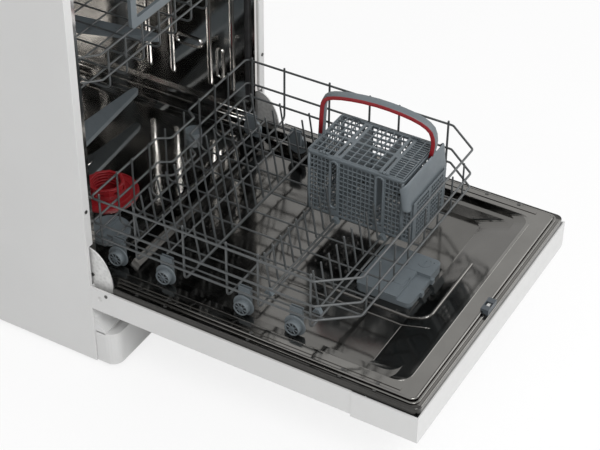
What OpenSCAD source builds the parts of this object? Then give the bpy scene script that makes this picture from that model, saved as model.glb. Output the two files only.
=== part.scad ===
// Freestanding dishwasher with its door let down and the lower basket rolled out over it.
// Heights are above the floor, x is from the middle plane, and y is from the cabinet's front plane.

/* [Cabinet] */
// Width over the side panels
body_w = 598; // [590:1:620]
// Height of the worktop's upper face
body_h = 850; // [840:1:880]
// Depth of the cabinet behind its front plane
cab_d = 547; // [540:1:580]
// Thickness of the worktop
top_t = 38; // [30:1:45]
// Overhang of the worktop past the front plane
top_over = 28; // [10:1:40]
// Thickness of the painted steel sheet
skin_t = 1.2; // [0.8:0.1:2]
// Width of the front flange of each side panel
jamb_w = 19; // [16:1:24]

/* [Door] */
// Length of the open door from the cabinet's front plane
door_len = 649; // [640:1:660]
// Height of the open door's outer face
door_z = 131; // [128:1:136]
// Depth of the door's painted side walls
door_t = 53; // [48:1:56]
// Length of the control panel along the door
console_len = 123.4; // [100:1:150]
// Height of the liner's rim above the painted side walls
rim_h = 20.5; // [18:0.5:24]
// Depth of the wheels' track below the liner's rim
track_drop = 8.5; // [7.5:0.5:9]
// Depth of the liner's basin below its rim
basin_h = 26; // [20:1:30]

/* [Tub] */
// Gap between a side panel's outer face and the tub's inner face
tub_gap = 30; // [26:1:36]
// Inner depth of the tub, from the front plane to its back wall
tub_d = 528; // [524:1:534]
// Height of the tub's ceiling
tub_top_z = 800; // [790:1:806]
// Height of the tub's floor
tub_floor_z = 186; // [184:1:190]
// Thickness of the stainless sheet
tub_t = 1; // [0.6:0.1:1.5]

/* [Lower rack] */
// Width of the lower rack over its rails
rack_w = 518; // [500:1:520]
// Y of the lower rack's front rails with the rack rolled out
rack_front_y = -494; // [-500:1:-480]
// Y of the lower rack's rear rails with the rack rolled out
rack_rear_y = 17; // [10:1:20]
// Height of the top rail
rack_top_z = 348.5; // [330:0.5:370]
// Thickness of the coated wire
wire_d = 4.2; // [3:0.1:5]
// Rolling diameter of a wheel
wheel_d = 28.4; // [26:0.2:30]
// Tines in a row
tine_n = 9; // [5:1:9]
// Distance between the tines of a row
tine_pitch = 26.5; // [20:0.5:27]

/* [Cutlery basket] */
// Size of the cutlery basket over its walls
basket_size = [125, 190, 130];
// Height of the handle's top above the basket's floor
handle_h = 229; // [200:1:232]

/* [Upper rack] */
// Height of the upper rack's top rail
upper_top_z = 608; // [600:1:620]
// Depth of the upper rack
upper_d = 478; // [440:1:480]

/* [Spray arms] */
// Reach of the lower spray arm
arm_reach = 205; // [180:1:206]
// Reach of the upper spray arm
upper_arm_reach = 200; // [180:1:206]

/* [Hidden] */

// Fits and overruns
over = 1; // overrun of every cut
snug = 0.1; // gap between welded or snapped pieces of one body
run_gap = 0.3; // gap between faces that slide or roll past each other
shaft_gap = 0.05; // radial clearance of a shaft in its bore
arc_n = 6; // chords in a quarter turn of a rounded outline
$fn = 48; // sides by which a circle is drawn

// Places that follow from the driving sizes
front_y = (door_len - cab_d) / 2; // moves the part's middle to y = 0
half_w = body_w / 2;
door_top_z = door_z + door_t;
rim_z = door_top_z + rim_h;
track_z = rim_z - track_drop; // on which the wheels roll
basin_z = rim_z - basin_h;
tub_half = half_w - tub_gap;
under_top_z = body_h - top_t;

// Colours
white = "white";
steel = "lightgray";
wire_grey = "dimgray";
blue_grey = "slategray";
black = "black";

// Feet and base tray
foot_inset = [34, 30]; // from the side panels' outer faces and from the front and back
foot_r = 20;
foot_pad_h = 6;
foot_neck_r = 9;
stud_r = 5;
panel_z = 7; // lower edge of the side panels
tray_z = 14;
tray_t = 3;
tray_wall_h = 86;
tray_gap = 0.5;
tray_rib_t = 2.5;
boss_r = 12;
boss_h = 14;

// Plinth
plinth_y = [-44, -2.6]; // front and rear
plinth_z = [8, 80];
plinth_side_gap = 3;
plinth_corner_r = 22;
plinth_t = 2.5;
scoop_top_gap = 6; // below the door's outer face

// Side panels
flange_lip = 9;
rear_flange_w = 14;
hinge_slot_z = [125, 268]; // the front flange is narrow between these heights
hinge_jamb_w = 8;
vent_size = [5, 60];
vent_pitch = 14;
vent_n = 7;
vent_z = 60;

// Back panel and worktop
back_z = 120;
bead_w = 12;
back_beads = 3;
top_corner_r = 5;
top_edge_h = 5;
top_groove = [3, 2];
top_rim_t = 1.6;

// Tub
tub_front_y = 3;
wall_foot_z = 248;
ledge_x = [0, 8, 13.5, 35]; // inwards from the tub's inner face: wall, upper step, track's side, track's edge
ledge_step_z = 226;
tub_corner_r = 34;
feed_w = 40; // spray feed up the back wall
feed_t = 15;
bead_y = [55, 108, 197, 254]; // upright beads of the side walls
bead_top_z = 470;
wall_bead_r = 5;
emboss_t = 1.2;
emboss_flat = [63, 25]; // horizontal oblong on each side wall
emboss_flat_at = [155, 340];
emboss_tall = [20, 71]; // upright oblong on each side wall
emboss_tall_at = [83, 310];
seal_y = [14, 24];
seal_h = 7;
seal_lip_t = 2.5;
sill_y = 12;

// Sump, filter and pumps
filter_at = [-59, 134];
filter_r = 62;
filter_flange_t = 2;
filter_hub_r = 41;
cup_r = 36;
cup_h = 27;
cup_sink = 46;
cup_wall = 2;
grip_n = 8;
grip_slot = [7, 12];
sump_h = 74;
sump_r = 72;
sump_foot_r = 46;
sump_taper_h = 30;
wash_pump_r = 42;
wash_pump_len = 120;
wash_pump_at = [60, 186, 98];
wash_volute_r = 52;
wash_volute_t = 34;
pump_duct_r = 14;
drain_pump_r = 26;
drain_pump_len = 62;
drain_pump_at = [-160, 150, 126];
spigot_r = 9.5;
spigot_len = 26;
drain_spigot_x = -215;
service_z = 62; // height of the inlet and the drain spigot at the back
inlet_x = 215;
inlet_r = 13.2; // outside radius of the threaded inlet spigot
inlet_len = 14;
inlet_body = [44, 58, 50];
coil_r = 13;
coil_h = 30;
spigot_inset = 2;
weight_size = [300, 80, 56];
weight_gap_y = 20;
weight_corner_r = 12;
float_at = [178, 92];
float_r = 17;
float_h = 15;
float_travel = 10;
float_stem_r = 5;
salt_at = [-152, 60];
salt_r = 34;
salt_collar_r = 40;
salt_h = 11;
salt_grip = [46, 9, 7];

// Door
lip_t = 3.5; // the folded edge of the door's side walls
door_corner_r = 5;
console_proud = 1; // wider than the door on each side
console_drop = 4; // thicker than the door
console_t = 2.6;
grip_size = [230, 46, 26];
grip_from_end = 62;
button_r = 8;
button_h = 5;
button_proud = 1.6;
button_stem_r = 4;
power_x = -235;
start_x = 235;
button_from_end = 40;
button_guide_h = 12;
button_guide_t = 2;

// Door liner, a pressing
liner_t = 1.2;
liner_gap = 0.3; // to the painted side walls
liner_ledge_h = 14; // height of the lower wall
liner_ledge_w = 4.5;
liner_slope_w = 8;
liner_end_gap = 6; // from the hinge end
liner_corner_r = 12;
hinge_notch = [18, 44];
track_w = 40; // from the outer edge to the track's channel
flange_room = 3.8; // between a wheel's flange and the basin's edge
basin_front_gap = 44; // from the liner's outer end
basin_back_gap = 26;
basin_r = 26;
basin_draft = 8;
rail_bead = [21.5, 28, 1.2]; // from and to, inwards from the liner's edge, and height
crease_y = -518; // where the basin's floor turns up towards the door's end
fold_r = 3.2; // the bright folds of the basin's floor
fold_gap = 4; // from the folds' ends to the crease
fold_x = -80; // fold beside the dispenser's pocket
fold_corner_r = 18;
fold_end_x = 92;
fold_y = -556;
fold_back_y = -300;
fold2_x = -104;
fold2_back_y = -230;

// Dispenser
disp_x = [-61, 66];
disp_y = [-511, -402];
disp_corner_r = 11;
disp_top_z = 196;
disp_step_h = 6; // thickness of the upper shell, over the darker body
disp_depth = 52;
disp_inset = 3;
disp_split_x = 19; // between the lid side and the far panel
lid_end_y = -485; // where the lid ends and the sunken slope begins
slope_h = 4.5;
lid_t = 2.6;
lid_gap = 0.4;
lid_mark = [16, 16, 0.6];
lid_mark_at = [-20, -470];
thumb_r = 26; // finger recess
thumb_h = 1.4;
thumb_w = 10;
cup_wall_t = 2.4;
detergent_depth = 34;
rinse_at = [46, -486];
rinse_r = 11.5;
rinse_t = 2.2;
rinse_slot = [14, 2.2, 0.9];
mark_at = [46, -432];
mark_r = 10;
mark_h = 0.5;
vent_holes = 3;
vent_hole_r = 1.3;
vent_hole_pitch = 7;
clip_size = [9, 6, 10];

// Door hinges
hinge_x = 12; // from the cabinet's outer face to the plate
hinge_plate_t = 2.5;
hinge_pivot = [-20, 164]; // y and z of the door's axis
hinge_arm_z = [140, 185];
hinge_back_y = 60;
hinge_quarter = [8, 262]; // y and z of the quarter disc's tall edge
hinge_front_y = -42;
hinge_pin_r = 5;
hinge_pin_head_r = 8;
hinge_pin_head_t = 2;
hinge_bracket_t = 2.5;
hinge_bracket = [40, 40];

// Lock
lock_at = [-12, -637];
lock_size = [34, 15, 12];
lock_slot = [11, 12];
latch_size = [9, 6, 10];
catch_size = [26, 14, 16];

// Screws
screw_r = 3.4;
screw_h = 1.2;
side_screw_h = 0.8;
screw_pairs_y = [-95, -154, -321, -498, -563];
side_screws = [[-34, 175], [345, 0]];

// Lower rack
rail_z_shares = [1, 0.51, 0.23]; // heights of the rails between the rack's floor and its top rail
floor_z = 240; // middle of the cross wires' floor runs
long_wire_d = 3.4;
rail_bend_r = 9;
wire_bend_r = 12;
chamfer_x = 50; // cut corner at the front, across and along
chamfer_y = 63;
notch_w = 76;
notch_d = 22;
notch_slope = 14;
post_y_shares = [0.03, 0.172, 0.366, 0.535, 0.656, 0.853]; // from the rear rail to the front rail
post_over = 9; // posts stand this far above the top rail
long_x_shares = [0.15, 0.4, 0.66, 0.885];
long_front_z = 330;
tine_d = 3.6;
tine_h = 72;
tine_lean = 9;
row_x = -203; // first tine of the folding rows
row_y = [-412, -317.5];
fixed_row_y = [-48, -112, -176];
cradle_size = [9, 17];

// Wheels and clips
wheel_y = [-14.6, -116.2, -276.4, -378.2];
wheel_face_x = 58; // from the cabinet's outer face to the wheel's outer face
wheel_w = 13;
flange_r = 20.6;
flange_t = 2.2;
tread_w = 8;
wheel_hub_r = 6.5;
wheel_axle_r = 3;
spoke_n = 8;
spoke_gap = [7.6, 11.4]; // the openings between the spokes, from the axle
spoke_gap_a = 33;
clip_gap_x = 1.2;
clip_t = 7;
clip_w = 24;
clip_top = 8;
clip_foot_r = 8;
axle_head_r = 4.2;
axle_head_t = 1.4;

// Cutlery basket
basket_x = 26; // left face
basket_y = -445; // front face of the body
basket_wall = 2;
basket_front_d = 21; // the narrow compartment ahead of the body
basket_front_h = 62;
basket_rim_h = 10;
basket_foot_h = 16;
mesh_pitch = [12.4, 12.2];
mesh_bar = 3;
divider_y_shares = [0.36, 0.68];
slot_size = [14, 98];
slot_frame = 3;
slot_y_shares = [0.24, 0.72];
lid_bar = 2.4;
lid_grid_n = [4, 14];
lid_h = 4;
lid_hinge_r = 2.6;
knuckle_y_shares = [0.17, 0.8];
knuckle_len = 12;
handle_t = 8;
handle_w = 9;
handle_bend_r = 22;
handle_x_share = 0.48;
shield_w = 150;
shield_h = 58;
shield_bulge = 16;
shield_t = 2.4;

// Upper rack
upper_w = 500;
upper_front_y = 12;
upper_mid_z = 558;
upper_floor_z = 522;
upper_wire_d = 3.6;
upper_chamfer = 48;
upper_post_n = 9;
upper_long_n = 8;
roller_t = 7;
roller_y = [445, 480];
roller_axle_r = 4;
carrier_t = 2.9;
carrier_over = 3; // the carrier's reach above and below the side rails
guide_size = [13, 30];
guide_z = 572;
guide_t = 1.6;
guide_y = [28, 515];
upper_grip = [226, 64]; // across and up
grip_plate_t = 7;
grip_corner_r = 8;

// Spray arms
arm_at = [0, 245];
arm_z = [224, 234];
arm_hub_r = 25;
arm_tip_w = 16;
arm_root_w = 50;
arm_pin_r = 12;
arm_hub_gap = 0.3;
arm_turn = 0;
nozzle_n = 7;
nozzle_r = 1.5;
nozzle_step = 26;
nozzle_first = 38;
upper_arm_at = [0, 262];
upper_arm_z = [487, 497];
upper_arm_turn = 283;
feed_pipe_z = 524; // top of the pipe on the back wall
pipe_h = 13;
arm_nut_h = 2.5;

// Outlines and simple solids
function arc(at, r, from, to, n = arc_n) =
  [for (i = [0:n]) let (a = from + (to - from) * i / n) at + r * [cos(a), sin(a)]];

function rounded(w, d, r) = concat(
  arc([w / 2 - r, d / 2 - r], r, 0, 90),
  arc([r - w / 2, d / 2 - r], r, 90, 180),
  arc([r - w / 2, r - d / 2], r, 180, 270),
  arc([w / 2 - r, r - d / 2], r, 270, 360));

module placed()
  translate([0, front_y, 0])
    children();

module block(from, to)
  translate(from)
    cube(to - from);

module plate(x, y, z, r)
  translate([(x[0] + x[1]) / 2, (y[0] + y[1]) / 2, z[0]])
    linear_extrude(z[1] - z[0])
      polygon(rounded(x[1] - x[0], y[1] - y[0], r));

module both_sides() {
  children();
  mirror([1, 0, 0])
    children();
}

// An outline in x and z, drawn out from y0 to y1
module along_y(y0, y1)
  translate([0, y1, 0])
    rotate([90, 0, 0])
      linear_extrude(y1 - y0)
        children();

// An outline in y and z, drawn out from x0 to x1
module along_x(x0, x1)
  translate([x0, 0, 0])
    rotate([90, 0, 90])
      linear_extrude(x1 - x0)
        children();

module post(at, r, h)
  translate(at)
    cylinder(h = h, r = r);

module bar_x(at, r, len)
  translate(at)
    rotate([0, 90, 0])
      cylinder(h = len, r = r);

module bar_y(at, r, len)
  translate(at)
    rotate([-90, 0, 0])
      cylinder(h = len, r = r);

// Bent wire along a flat path: straight rods, and the bends between them
function turn_at(path, i) =
  let (u = path[i] - path[i - 1], v = path[i + 1] - path[i])
  atan2(u.x * v.y - u.y * v.x, u * v);

function setback(path, i, bend_r) =
  i == 0 || i == len(path) - 1 ? 0 : bend_r * tan(abs(turn_at(path, i)) / 2);

module rods(path, r, bend_r, gap = 0)
  for (i = [0:len(path) - 2]) {
    step = path[i + 1] - path[i];
    run = norm(step);
    cut = setback(path, i, bend_r) + (i == 0 ? 0 : gap);
    end_cut = setback(path, i + 1, bend_r) + (i == len(path) - 2 ? 0 : gap);
    translate([path[i].x, path[i].y, 0])
      rotate([0, 0, atan2(step.y, step.x)])
        translate([cut, 0, 0])
          rotate([0, 90, 0])
            cylinder(h = run - cut - end_cut, r = r);
  }

module bends(path, r, bend_r)
  for (i = [1:len(path) - 2]) {
    turn = turn_at(path, i);
    step = (path[i] - path[i - 1]) / norm(path[i] - path[i - 1]);
    side = turn > 0 ? 1 : -1;
    centre = path[i] - step * setback(path, i, bend_r) + side * bend_r * [-step.y, step.x];
    heading = atan2(step.y, step.x);
    translate([centre.x, centre.y, 0])
      rotate([0, 0, turn > 0 ? heading - 90 : heading + 90 + turn])
        rotate_extrude(angle = abs(turn))
          translate([bend_r, 0])
            circle(r = r);
  }

// Puts a flat path's plane upright: across the part, or along it
module across(y)
  translate([0, y, 0])
    rotate([90, 0, 0])
      children();

module lengthways(x)
  translate([x, 0, 0])
    rotate([90, 0, 90])
      children();

// Base, feet and services
module foot_places()
  for (x = [foot_inset.x - half_w, half_w - foot_inset.x])
    for (y = [foot_inset.y, cab_d - foot_inset.y])
      translate([x, y, 0])
        children();

module feet()
  color(black) placed()
    foot_places() {
      cylinder(h = foot_pad_h, r = foot_r);
      cylinder(h = tray_z - snug, r = foot_neck_r);
      cylinder(h = tray_z + boss_h - over, r = stud_r);
    }

module tray_outline(inset, z0, z1) {
  half = half_w - skin_t - tray_gap - inset;
  block([-half, skin_t + tray_gap + inset, z0], [half, cab_d - skin_t - tray_gap - inset, z1]);
}

module base_tray()
  color(black) placed()
    difference() {
      union() {
        difference() {
          tray_outline(0, tray_z, tray_z + tray_wall_h);
          tray_outline(tray_rib_t, tray_z + tray_t, tray_z + tray_wall_h + over);
          // the services leave through the rear wall
          for (x = [inlet_x, drain_spigot_x])
            block([x - inlet_body.x / 2 - over, cab_d - foot_inset.y, service_z - inlet_body.z / 2],
              [x + inlet_body.x / 2 + over, cab_d, tray_z + tray_wall_h + over]);
        }
        foot_places()
          translate([0, 0, tray_z])
            cylinder(h = boss_h, r = boss_r);
        weight_bed();
      }
      foot_places()
        translate([0, 0, tray_z - over])
          cylinder(h = boss_h + 2 * over, r = stud_r + shaft_gap);
    }

weight_y = cab_d - skin_t - tray_gap - tray_rib_t - weight_gap_y - weight_size.y;

module weight_bed() {
  half = weight_size.x / 2 + snug;
  for (x = [-half - tray_rib_t, half])
    block([x, weight_y, tray_z + tray_t - over / 2],
      [x + tray_rib_t, weight_y + weight_size.y, tray_z + tray_t + weight_corner_r]);
}

module counterweight()
  color("gray") placed()
    difference() {
      plate([-weight_size.x / 2, weight_size.x / 2], [weight_y, weight_y + weight_size.y],
        [tray_z + tray_t + snug, tray_z + tray_t + snug + weight_size.z], weight_corner_r);
      for (x = [-1, 1])
        post([x * weight_size.x / 3, weight_y + weight_size.y / 2, tray_z], stud_r,
          weight_size.z + tray_t + 2 * over);
    }

module plinth() {
  half = half_w - plinth_side_gap;
  depth = plinth_y[1] - plinth_y[0];
  run = door_z - scoop_top_gap - plinth_z[1];
  color(white) placed() {
    difference() {
      plinth_block(half, 0, plinth_z[0], plinth_z[1]);
      plinth_block(half, plinth_t, plinth_z[0] - over, plinth_z[1] - plinth_t);
      block([-half_w, -snug, 0], [half_w, 2 * plinth_corner_r, plinth_z[1] + over]);
      // dished top
      along_x(plinth_corner_r - half, half - plinth_corner_r)
        polygon(concat(arc([plinth_y[0] + depth / 2 + plinth_t, plinth_z[1] + depth / 2 * 1.6],
          depth / 2 * 1.68, 232, 308)));
    }
    // curved sheet up to the door, round which the door's lower edge swings
    along_x(plinth_corner_r - half, half - plinth_corner_r)
      difference() {
        polygon(concat(arc([plinth_y[1] - depth + plinth_t, plinth_z[1] + run], depth, 290, 360),
          [[plinth_y[1] + plinth_t, plinth_z[1] + run],
          [plinth_y[1] + plinth_t, plinth_z[1] - plinth_t],
          [plinth_y[1] - depth / 2, plinth_z[1] - plinth_t]]));
        translate([plinth_y[1] - depth / 2, plinth_z[1] - plinth_t - over])
          square([depth / 2 - over, over]);
      }
  }
}

module plinth_block(half, inset, z0, z1)
  plate([inset - half, half - inset], [plinth_y[0] + inset, plinth_y[1] + plinth_corner_r + inset],
    [z0, z1], plinth_corner_r - inset / 2);

// Cabinet
module side_panel()
  difference() {
    union() {
      block([half_w - skin_t, 0, panel_z], [half_w, cab_d, under_top_z]);
      block([half_w - jamb_w, 0, hinge_slot_z[1]], [half_w, skin_t, under_top_z]);
      block([half_w - jamb_w, 0, hinge_slot_z[1]], [half_w - jamb_w + skin_t, flange_lip, under_top_z]);
      block([half_w - hinge_jamb_w, 0, panel_z], [half_w, skin_t, under_top_z]);
      block([half_w - rear_flange_w, cab_d - skin_t, back_z], [half_w, cab_d, under_top_z]);
      block([half_w - rear_flange_w, 0, panel_z], [half_w, cab_d, panel_z + skin_t]);
    }
    for (i = [0:vent_n - 1])
      block([half_w - 2 * over - skin_t, cab_d - foot_inset.y - foot_r - i * vent_pitch - vent_size.x, vent_z],
        [half_w + over, cab_d - foot_inset.y - foot_r - i * vent_pitch, vent_z + vent_size.y]);
  }

module side_panel_right()
  color(white) placed()
    side_panel();

module side_panel_left()
  color(white) placed()
    mirror([1, 0, 0])
      side_panel();

module back_panel() {
  half = half_w - skin_t - snug;
  step = (under_top_z - back_z) / (back_beads + 1);
  color("silver") placed() {
    block([-half, cab_d - 2 * skin_t - snug, back_z], [half, cab_d - skin_t - snug, under_top_z - snug]);
    for (i = [1:back_beads])
      block([-half + rear_flange_w + over, cab_d - skin_t - snug - over / 2, back_z + i * step - bead_w / 2],
        [half - rear_flange_w - over, cab_d - snug, back_z + i * step + bead_w / 2]);
  }
}

module worktop()
  color(white) placed()
    difference() {
      plate([-half_w, half_w], [-top_over, cab_d], [under_top_z, body_h], top_corner_r);
      // shadow groove round the edge trim
      difference() {
        plate([-half_w - over, half_w + over], [-top_over - over, cab_d + over],
          [body_h - top_edge_h - top_groove.x, body_h - top_edge_h], top_corner_r);
        plate([top_groove.y - half_w, half_w - top_groove.y],
          [top_groove.y - top_over, cab_d - top_groove.y],
          [body_h - top_edge_h - top_groove.x - over, body_h - top_edge_h + over], top_corner_r);
      }
      // hollow under the board
      block([top_rim_t + jamb_w - half_w, jamb_w, under_top_z - over],
        [half_w - jamb_w - top_rim_t, cab_d - jamb_w, body_h - top_t / 2]);
    }

// Tub
module tub_walls()
  color(steel) placed() {
    both_sides()
      difference() {
        union() {
          block([tub_half, tub_front_y, wall_foot_z],
            [tub_half + tub_t, tub_d - snug, tub_top_z - tub_corner_r]);
          // flange to the side panel's front edge
          block([tub_half, tub_front_y, hinge_slot_z[1]],
            [half_w - jamb_w - snug, tub_front_y + tub_t, tub_top_z - tub_corner_r]);
          for (y = bead_y)
            block([tub_half - emboss_t, y - wall_bead_r, wall_foot_z + wall_bead_r],
              [tub_half + over / 2, y + wall_bead_r, bead_top_z]);
          wall_emboss(emboss_flat, emboss_flat_at);
          wall_emboss(emboss_tall, emboss_tall_at);
        }
      }
    both_sides()
      along_y(tub_front_y, tub_d - snug)
        difference() {
          polygon(concat(arc([tub_half - tub_corner_r, tub_top_z - tub_corner_r],
            tub_corner_r + tub_t, 0, 90),
            [[tub_half - tub_corner_r, tub_top_z - tub_corner_r]]));
          polygon(concat(arc([tub_half - tub_corner_r, tub_top_z - tub_corner_r],
            tub_corner_r, 0, 90),
            [[tub_half - tub_corner_r, tub_top_z - tub_corner_r]]));
          translate([tub_half - tub_corner_r, tub_top_z - tub_corner_r])
            square([snug, tub_corner_r + tub_t + over]);
          translate([tub_half - tub_corner_r, tub_top_z - tub_corner_r])
            square([tub_corner_r + tub_t + over, snug]);
        }
    block([tub_corner_r - tub_half, tub_front_y, tub_top_z],
      [tub_half - tub_corner_r, tub_d - snug, tub_top_z + tub_t]);
    tub_ledges();
  }

module wall_emboss(size, at)
  translate([tub_half - emboss_t, at[0], at[1]])
    rotate([90, 0, 90])
      linear_extrude(emboss_t + over / 2)
        polygon(rounded(size.x, size.y, min(size.x, size.y) / 2 - snug));

module tub_back()
  color(steel) placed() {
    block([-tub_half - tub_t, tub_d, tub_floor_z - 2 * tub_t], [tub_half + tub_t, tub_d + tub_t, tub_top_z + tub_t]);
    for (x = [-1, 1])
      for (share = [0.28, 0.62])
        block([x * share * tub_half - wall_bead_r, tub_d - emboss_t, wall_foot_z],
          [x * share * tub_half + wall_bead_r, tub_d + tub_t / 2, tub_top_z - tub_corner_r]);
  }

ledge_in = [for (x = ledge_x) tub_half - x];
pan_half = ledge_in[3] - snug;
sill_half = half_w - wheel_face_x - wheel_w - 2 * over;

// Stepped foot of the side walls, whose lower flat carries the wheels
module tub_ledges()
  both_sides()
    along_y(tub_front_y, tub_d - snug)
      polygon([[ledge_in[0] + tub_t, wall_foot_z - snug], [ledge_in[0], wall_foot_z - snug],
        [ledge_in[0], ledge_step_z], [ledge_in[1], ledge_step_z - wall_bead_r],
        [ledge_in[1], rim_z], [ledge_in[2], rim_z], [ledge_in[2], track_z], [ledge_in[3] + tub_t, track_z],
        [ledge_in[3], track_z - tub_t], [ledge_in[3], tub_floor_z], [ledge_in[3] + tub_t, tub_floor_z],
        [ledge_in[3] + tub_t, track_z - tub_t], [ledge_in[2] + tub_t, track_z - tub_t],
        [ledge_in[2] + tub_t, rim_z - tub_t],
        [ledge_in[1] + tub_t, rim_z - tub_t], [ledge_in[1] + tub_t, ledge_step_z - wall_bead_r],
        [ledge_in[0] + tub_t, ledge_step_z]]);

module tub_floor()
  color(steel) placed()
    difference() {
      union() {
        block([-pan_half, tub_front_y, tub_floor_z - tub_t], [pan_half, tub_d - snug, tub_floor_z]);
        // sill at the mouth, between the ways of the wheels' flanges
        along_x(-sill_half, sill_half)
          polygon([[tub_front_y, tub_floor_z - tub_t], [tub_front_y, rim_z - ledge_x[1]],
            [sill_y, rim_z - ledge_x[1]], [sill_y + ledge_x[1], tub_floor_z],
            [sill_y + ledge_x[1], tub_floor_z - tub_t]]);
        // raised seat of the spray arm's support
        post([arm_at.x, arm_at.y, tub_floor_z - tub_t], arm_hub_r + wall_bead_r, tub_t + over);
      }
      post([filter_at.x, filter_at.y, tub_floor_z - 2 * tub_t], filter_hub_r + snug, 4 * tub_t);
      post([salt_at.x, salt_at.y, tub_floor_z - 2 * tub_t], salt_r, 4 * tub_t);
      post([float_at.x, float_at.y, tub_floor_z - 2 * tub_t], float_stem_r + run_gap, 4 * tub_t);
      post([arm_at.x, arm_at.y, tub_floor_z - 2 * tub_t], arm_pin_r + snug, 6 * tub_t);
    }

module seal_profile()
  polygon([[0, 0], [seal_y[1] - seal_y[0], 0], [seal_y[1] - seal_y[0], seal_h / 2],
    [(seal_y[1] - seal_y[0]) / 2, seal_h], [0, seal_h / 2 + seal_lip_t], [0, seal_lip_t]]);

module tub_seal() {
  inner = tub_corner_r * cos(45 / arc_n) - snug;
  color(black) placed()
    translate([0, seal_y[0], 0]) {
      both_sides()
        translate([tub_half - snug, 0, wall_foot_z])
          rotate([0, 0, 90])
            linear_extrude(tub_top_z - tub_corner_r - wall_foot_z - snug)
              seal_profile();
      both_sides()
        translate([tub_half - tub_corner_r, 0, tub_top_z - tub_corner_r])
          rotate([-90, -90, 0])
            rotate_extrude(angle = 90)
              translate([inner, 0])
                rotate([0, 0, 90])
                  seal_profile();
      translate([tub_half - tub_corner_r - snug, 0, tub_top_z - snug])
        rotate([0, -90, 0])
          linear_extrude(2 * (tub_half - tub_corner_r - snug))
            rotate([0, 0, 90])
              seal_profile();
    }
}

// Sump, filter, salt inlet, level float and pumps
sump_z = tub_floor_z - tub_t - sump_h;

module sump()
  color(black) placed()
    difference() {
      translate([filter_at.x, filter_at.y, sump_z])
        rotate_extrude()
          polygon([[0, 0], [sump_foot_r, 0], [sump_foot_r, sump_taper_h],
            [sump_r, sump_taper_h + sump_h / 3], [sump_r, sump_h - snug], [0, sump_h - snug]]);
      post([filter_at.x, filter_at.y, tub_floor_z - tub_t - cup_sink - cup_wall - run_gap],
        filter_hub_r + snug, sump_h);
    }

module filter_plate()
  color("firebrick") placed()
    translate([filter_at.x, filter_at.y, tub_floor_z])
      difference() {
        union() {
          translate([0, 0, snug])
            cylinder(h = filter_flange_t, r = filter_r);
          translate([0, 0, -cup_sink])
            cylinder(h = cup_sink + filter_flange_t, r = filter_hub_r);
        }
        translate([0, 0, -cup_sink + cup_wall])
          cylinder(h = cup_sink + filter_flange_t + over, r = cup_r + run_gap);
      }

module filter_cup()
  color("firebrick") placed()
    translate([filter_at.x, filter_at.y, tub_floor_z])
      difference() {
        union() {
          translate([0, 0, run_gap - cup_sink + cup_wall])
            cylinder(h = cup_sink + cup_h - run_gap - cup_wall, r = cup_r - cup_wall, $fn = grip_n);
          translate([0, 0, filter_flange_t + snug + run_gap])
            cylinder(h = cup_h - filter_flange_t - snug - run_gap - 2 * cup_wall, r = cup_r, $fn = grip_n);
          translate([0, 0, run_gap - cup_sink + cup_wall])
            cylinder(h = cup_sink, r = cup_r - run_gap);
        }
        translate([0, 0, run_gap - cup_sink + 2 * cup_wall])
          cylinder(h = cup_sink + cup_h, r = cup_r - 3 * cup_wall);
        for (i = [0:grip_n - 1])
          rotate([0, 0, (i + 1 / 2) * 360 / grip_n])
            block([cup_r - 4 * cup_wall, -grip_slot.x / 2, filter_flange_t + 2 * cup_wall],
              [cup_r + over, grip_slot.x / 2, filter_flange_t + 2 * cup_wall + grip_slot.y]);
      }

module salt_cap()
  color(blue_grey) placed()
    translate([salt_at.x, salt_at.y, tub_floor_z + run_gap]) {
      cylinder(h = salt_h / 2, r = salt_collar_r - cup_wall);
      cylinder(h = salt_h, r = salt_r - cup_wall);
      translate([-salt_grip.x / 2, -salt_grip.y / 2, salt_h - over])
        cube([salt_grip.x, salt_grip.y, salt_grip.z + over]);
    }

module level_float()
  color(blue_grey) placed()
    translate([float_at.x, float_at.y, tub_floor_z + run_gap])
      difference() {
        union() {
          cylinder(h = float_h, r = float_r);
          translate([0, 0, -float_travel - float_stem_r - tub_t])
            cylinder(h = float_travel + float_stem_r + 2 * tub_t, r = float_stem_r);
        }
        translate([0, 0, float_h - cup_wall])
          cylinder(h = float_h, r = float_r - 2 * cup_wall);
      }

// Duct along x from the foot of the sump
module sump_duct(x, y, r)
  difference() {
    bar_x([min(x, filter_at.x), y, sump_z + sump_taper_h / 2], r, abs(x - filter_at.x));
    post([filter_at.x, filter_at.y, sump_z - over], sump_foot_r + snug, sump_h);
  }

module wash_pump() {
  color(blue_grey) placed() {
    bar_x([wash_pump_at.x, wash_pump_at.y, wash_pump_at.z], wash_pump_r, wash_pump_len);
    bar_x([wash_pump_at.x - wash_volute_t, wash_pump_at.y, wash_pump_at.z], wash_volute_r, wash_volute_t + over);
    sump_duct(wash_pump_at.x - wash_volute_t + over, (filter_at.y + wash_pump_at.y) / 2, pump_duct_r);
    for (x = [wash_pump_r / 2, wash_pump_len - wash_pump_r / 2])
      block([wash_pump_at.x + x, wash_pump_at.y - wash_pump_r / 2, tray_z + tray_t + snug],
        [wash_pump_at.x + x + tray_t, wash_pump_at.y + wash_pump_r / 2, wash_pump_at.z]);
  }
}

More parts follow.
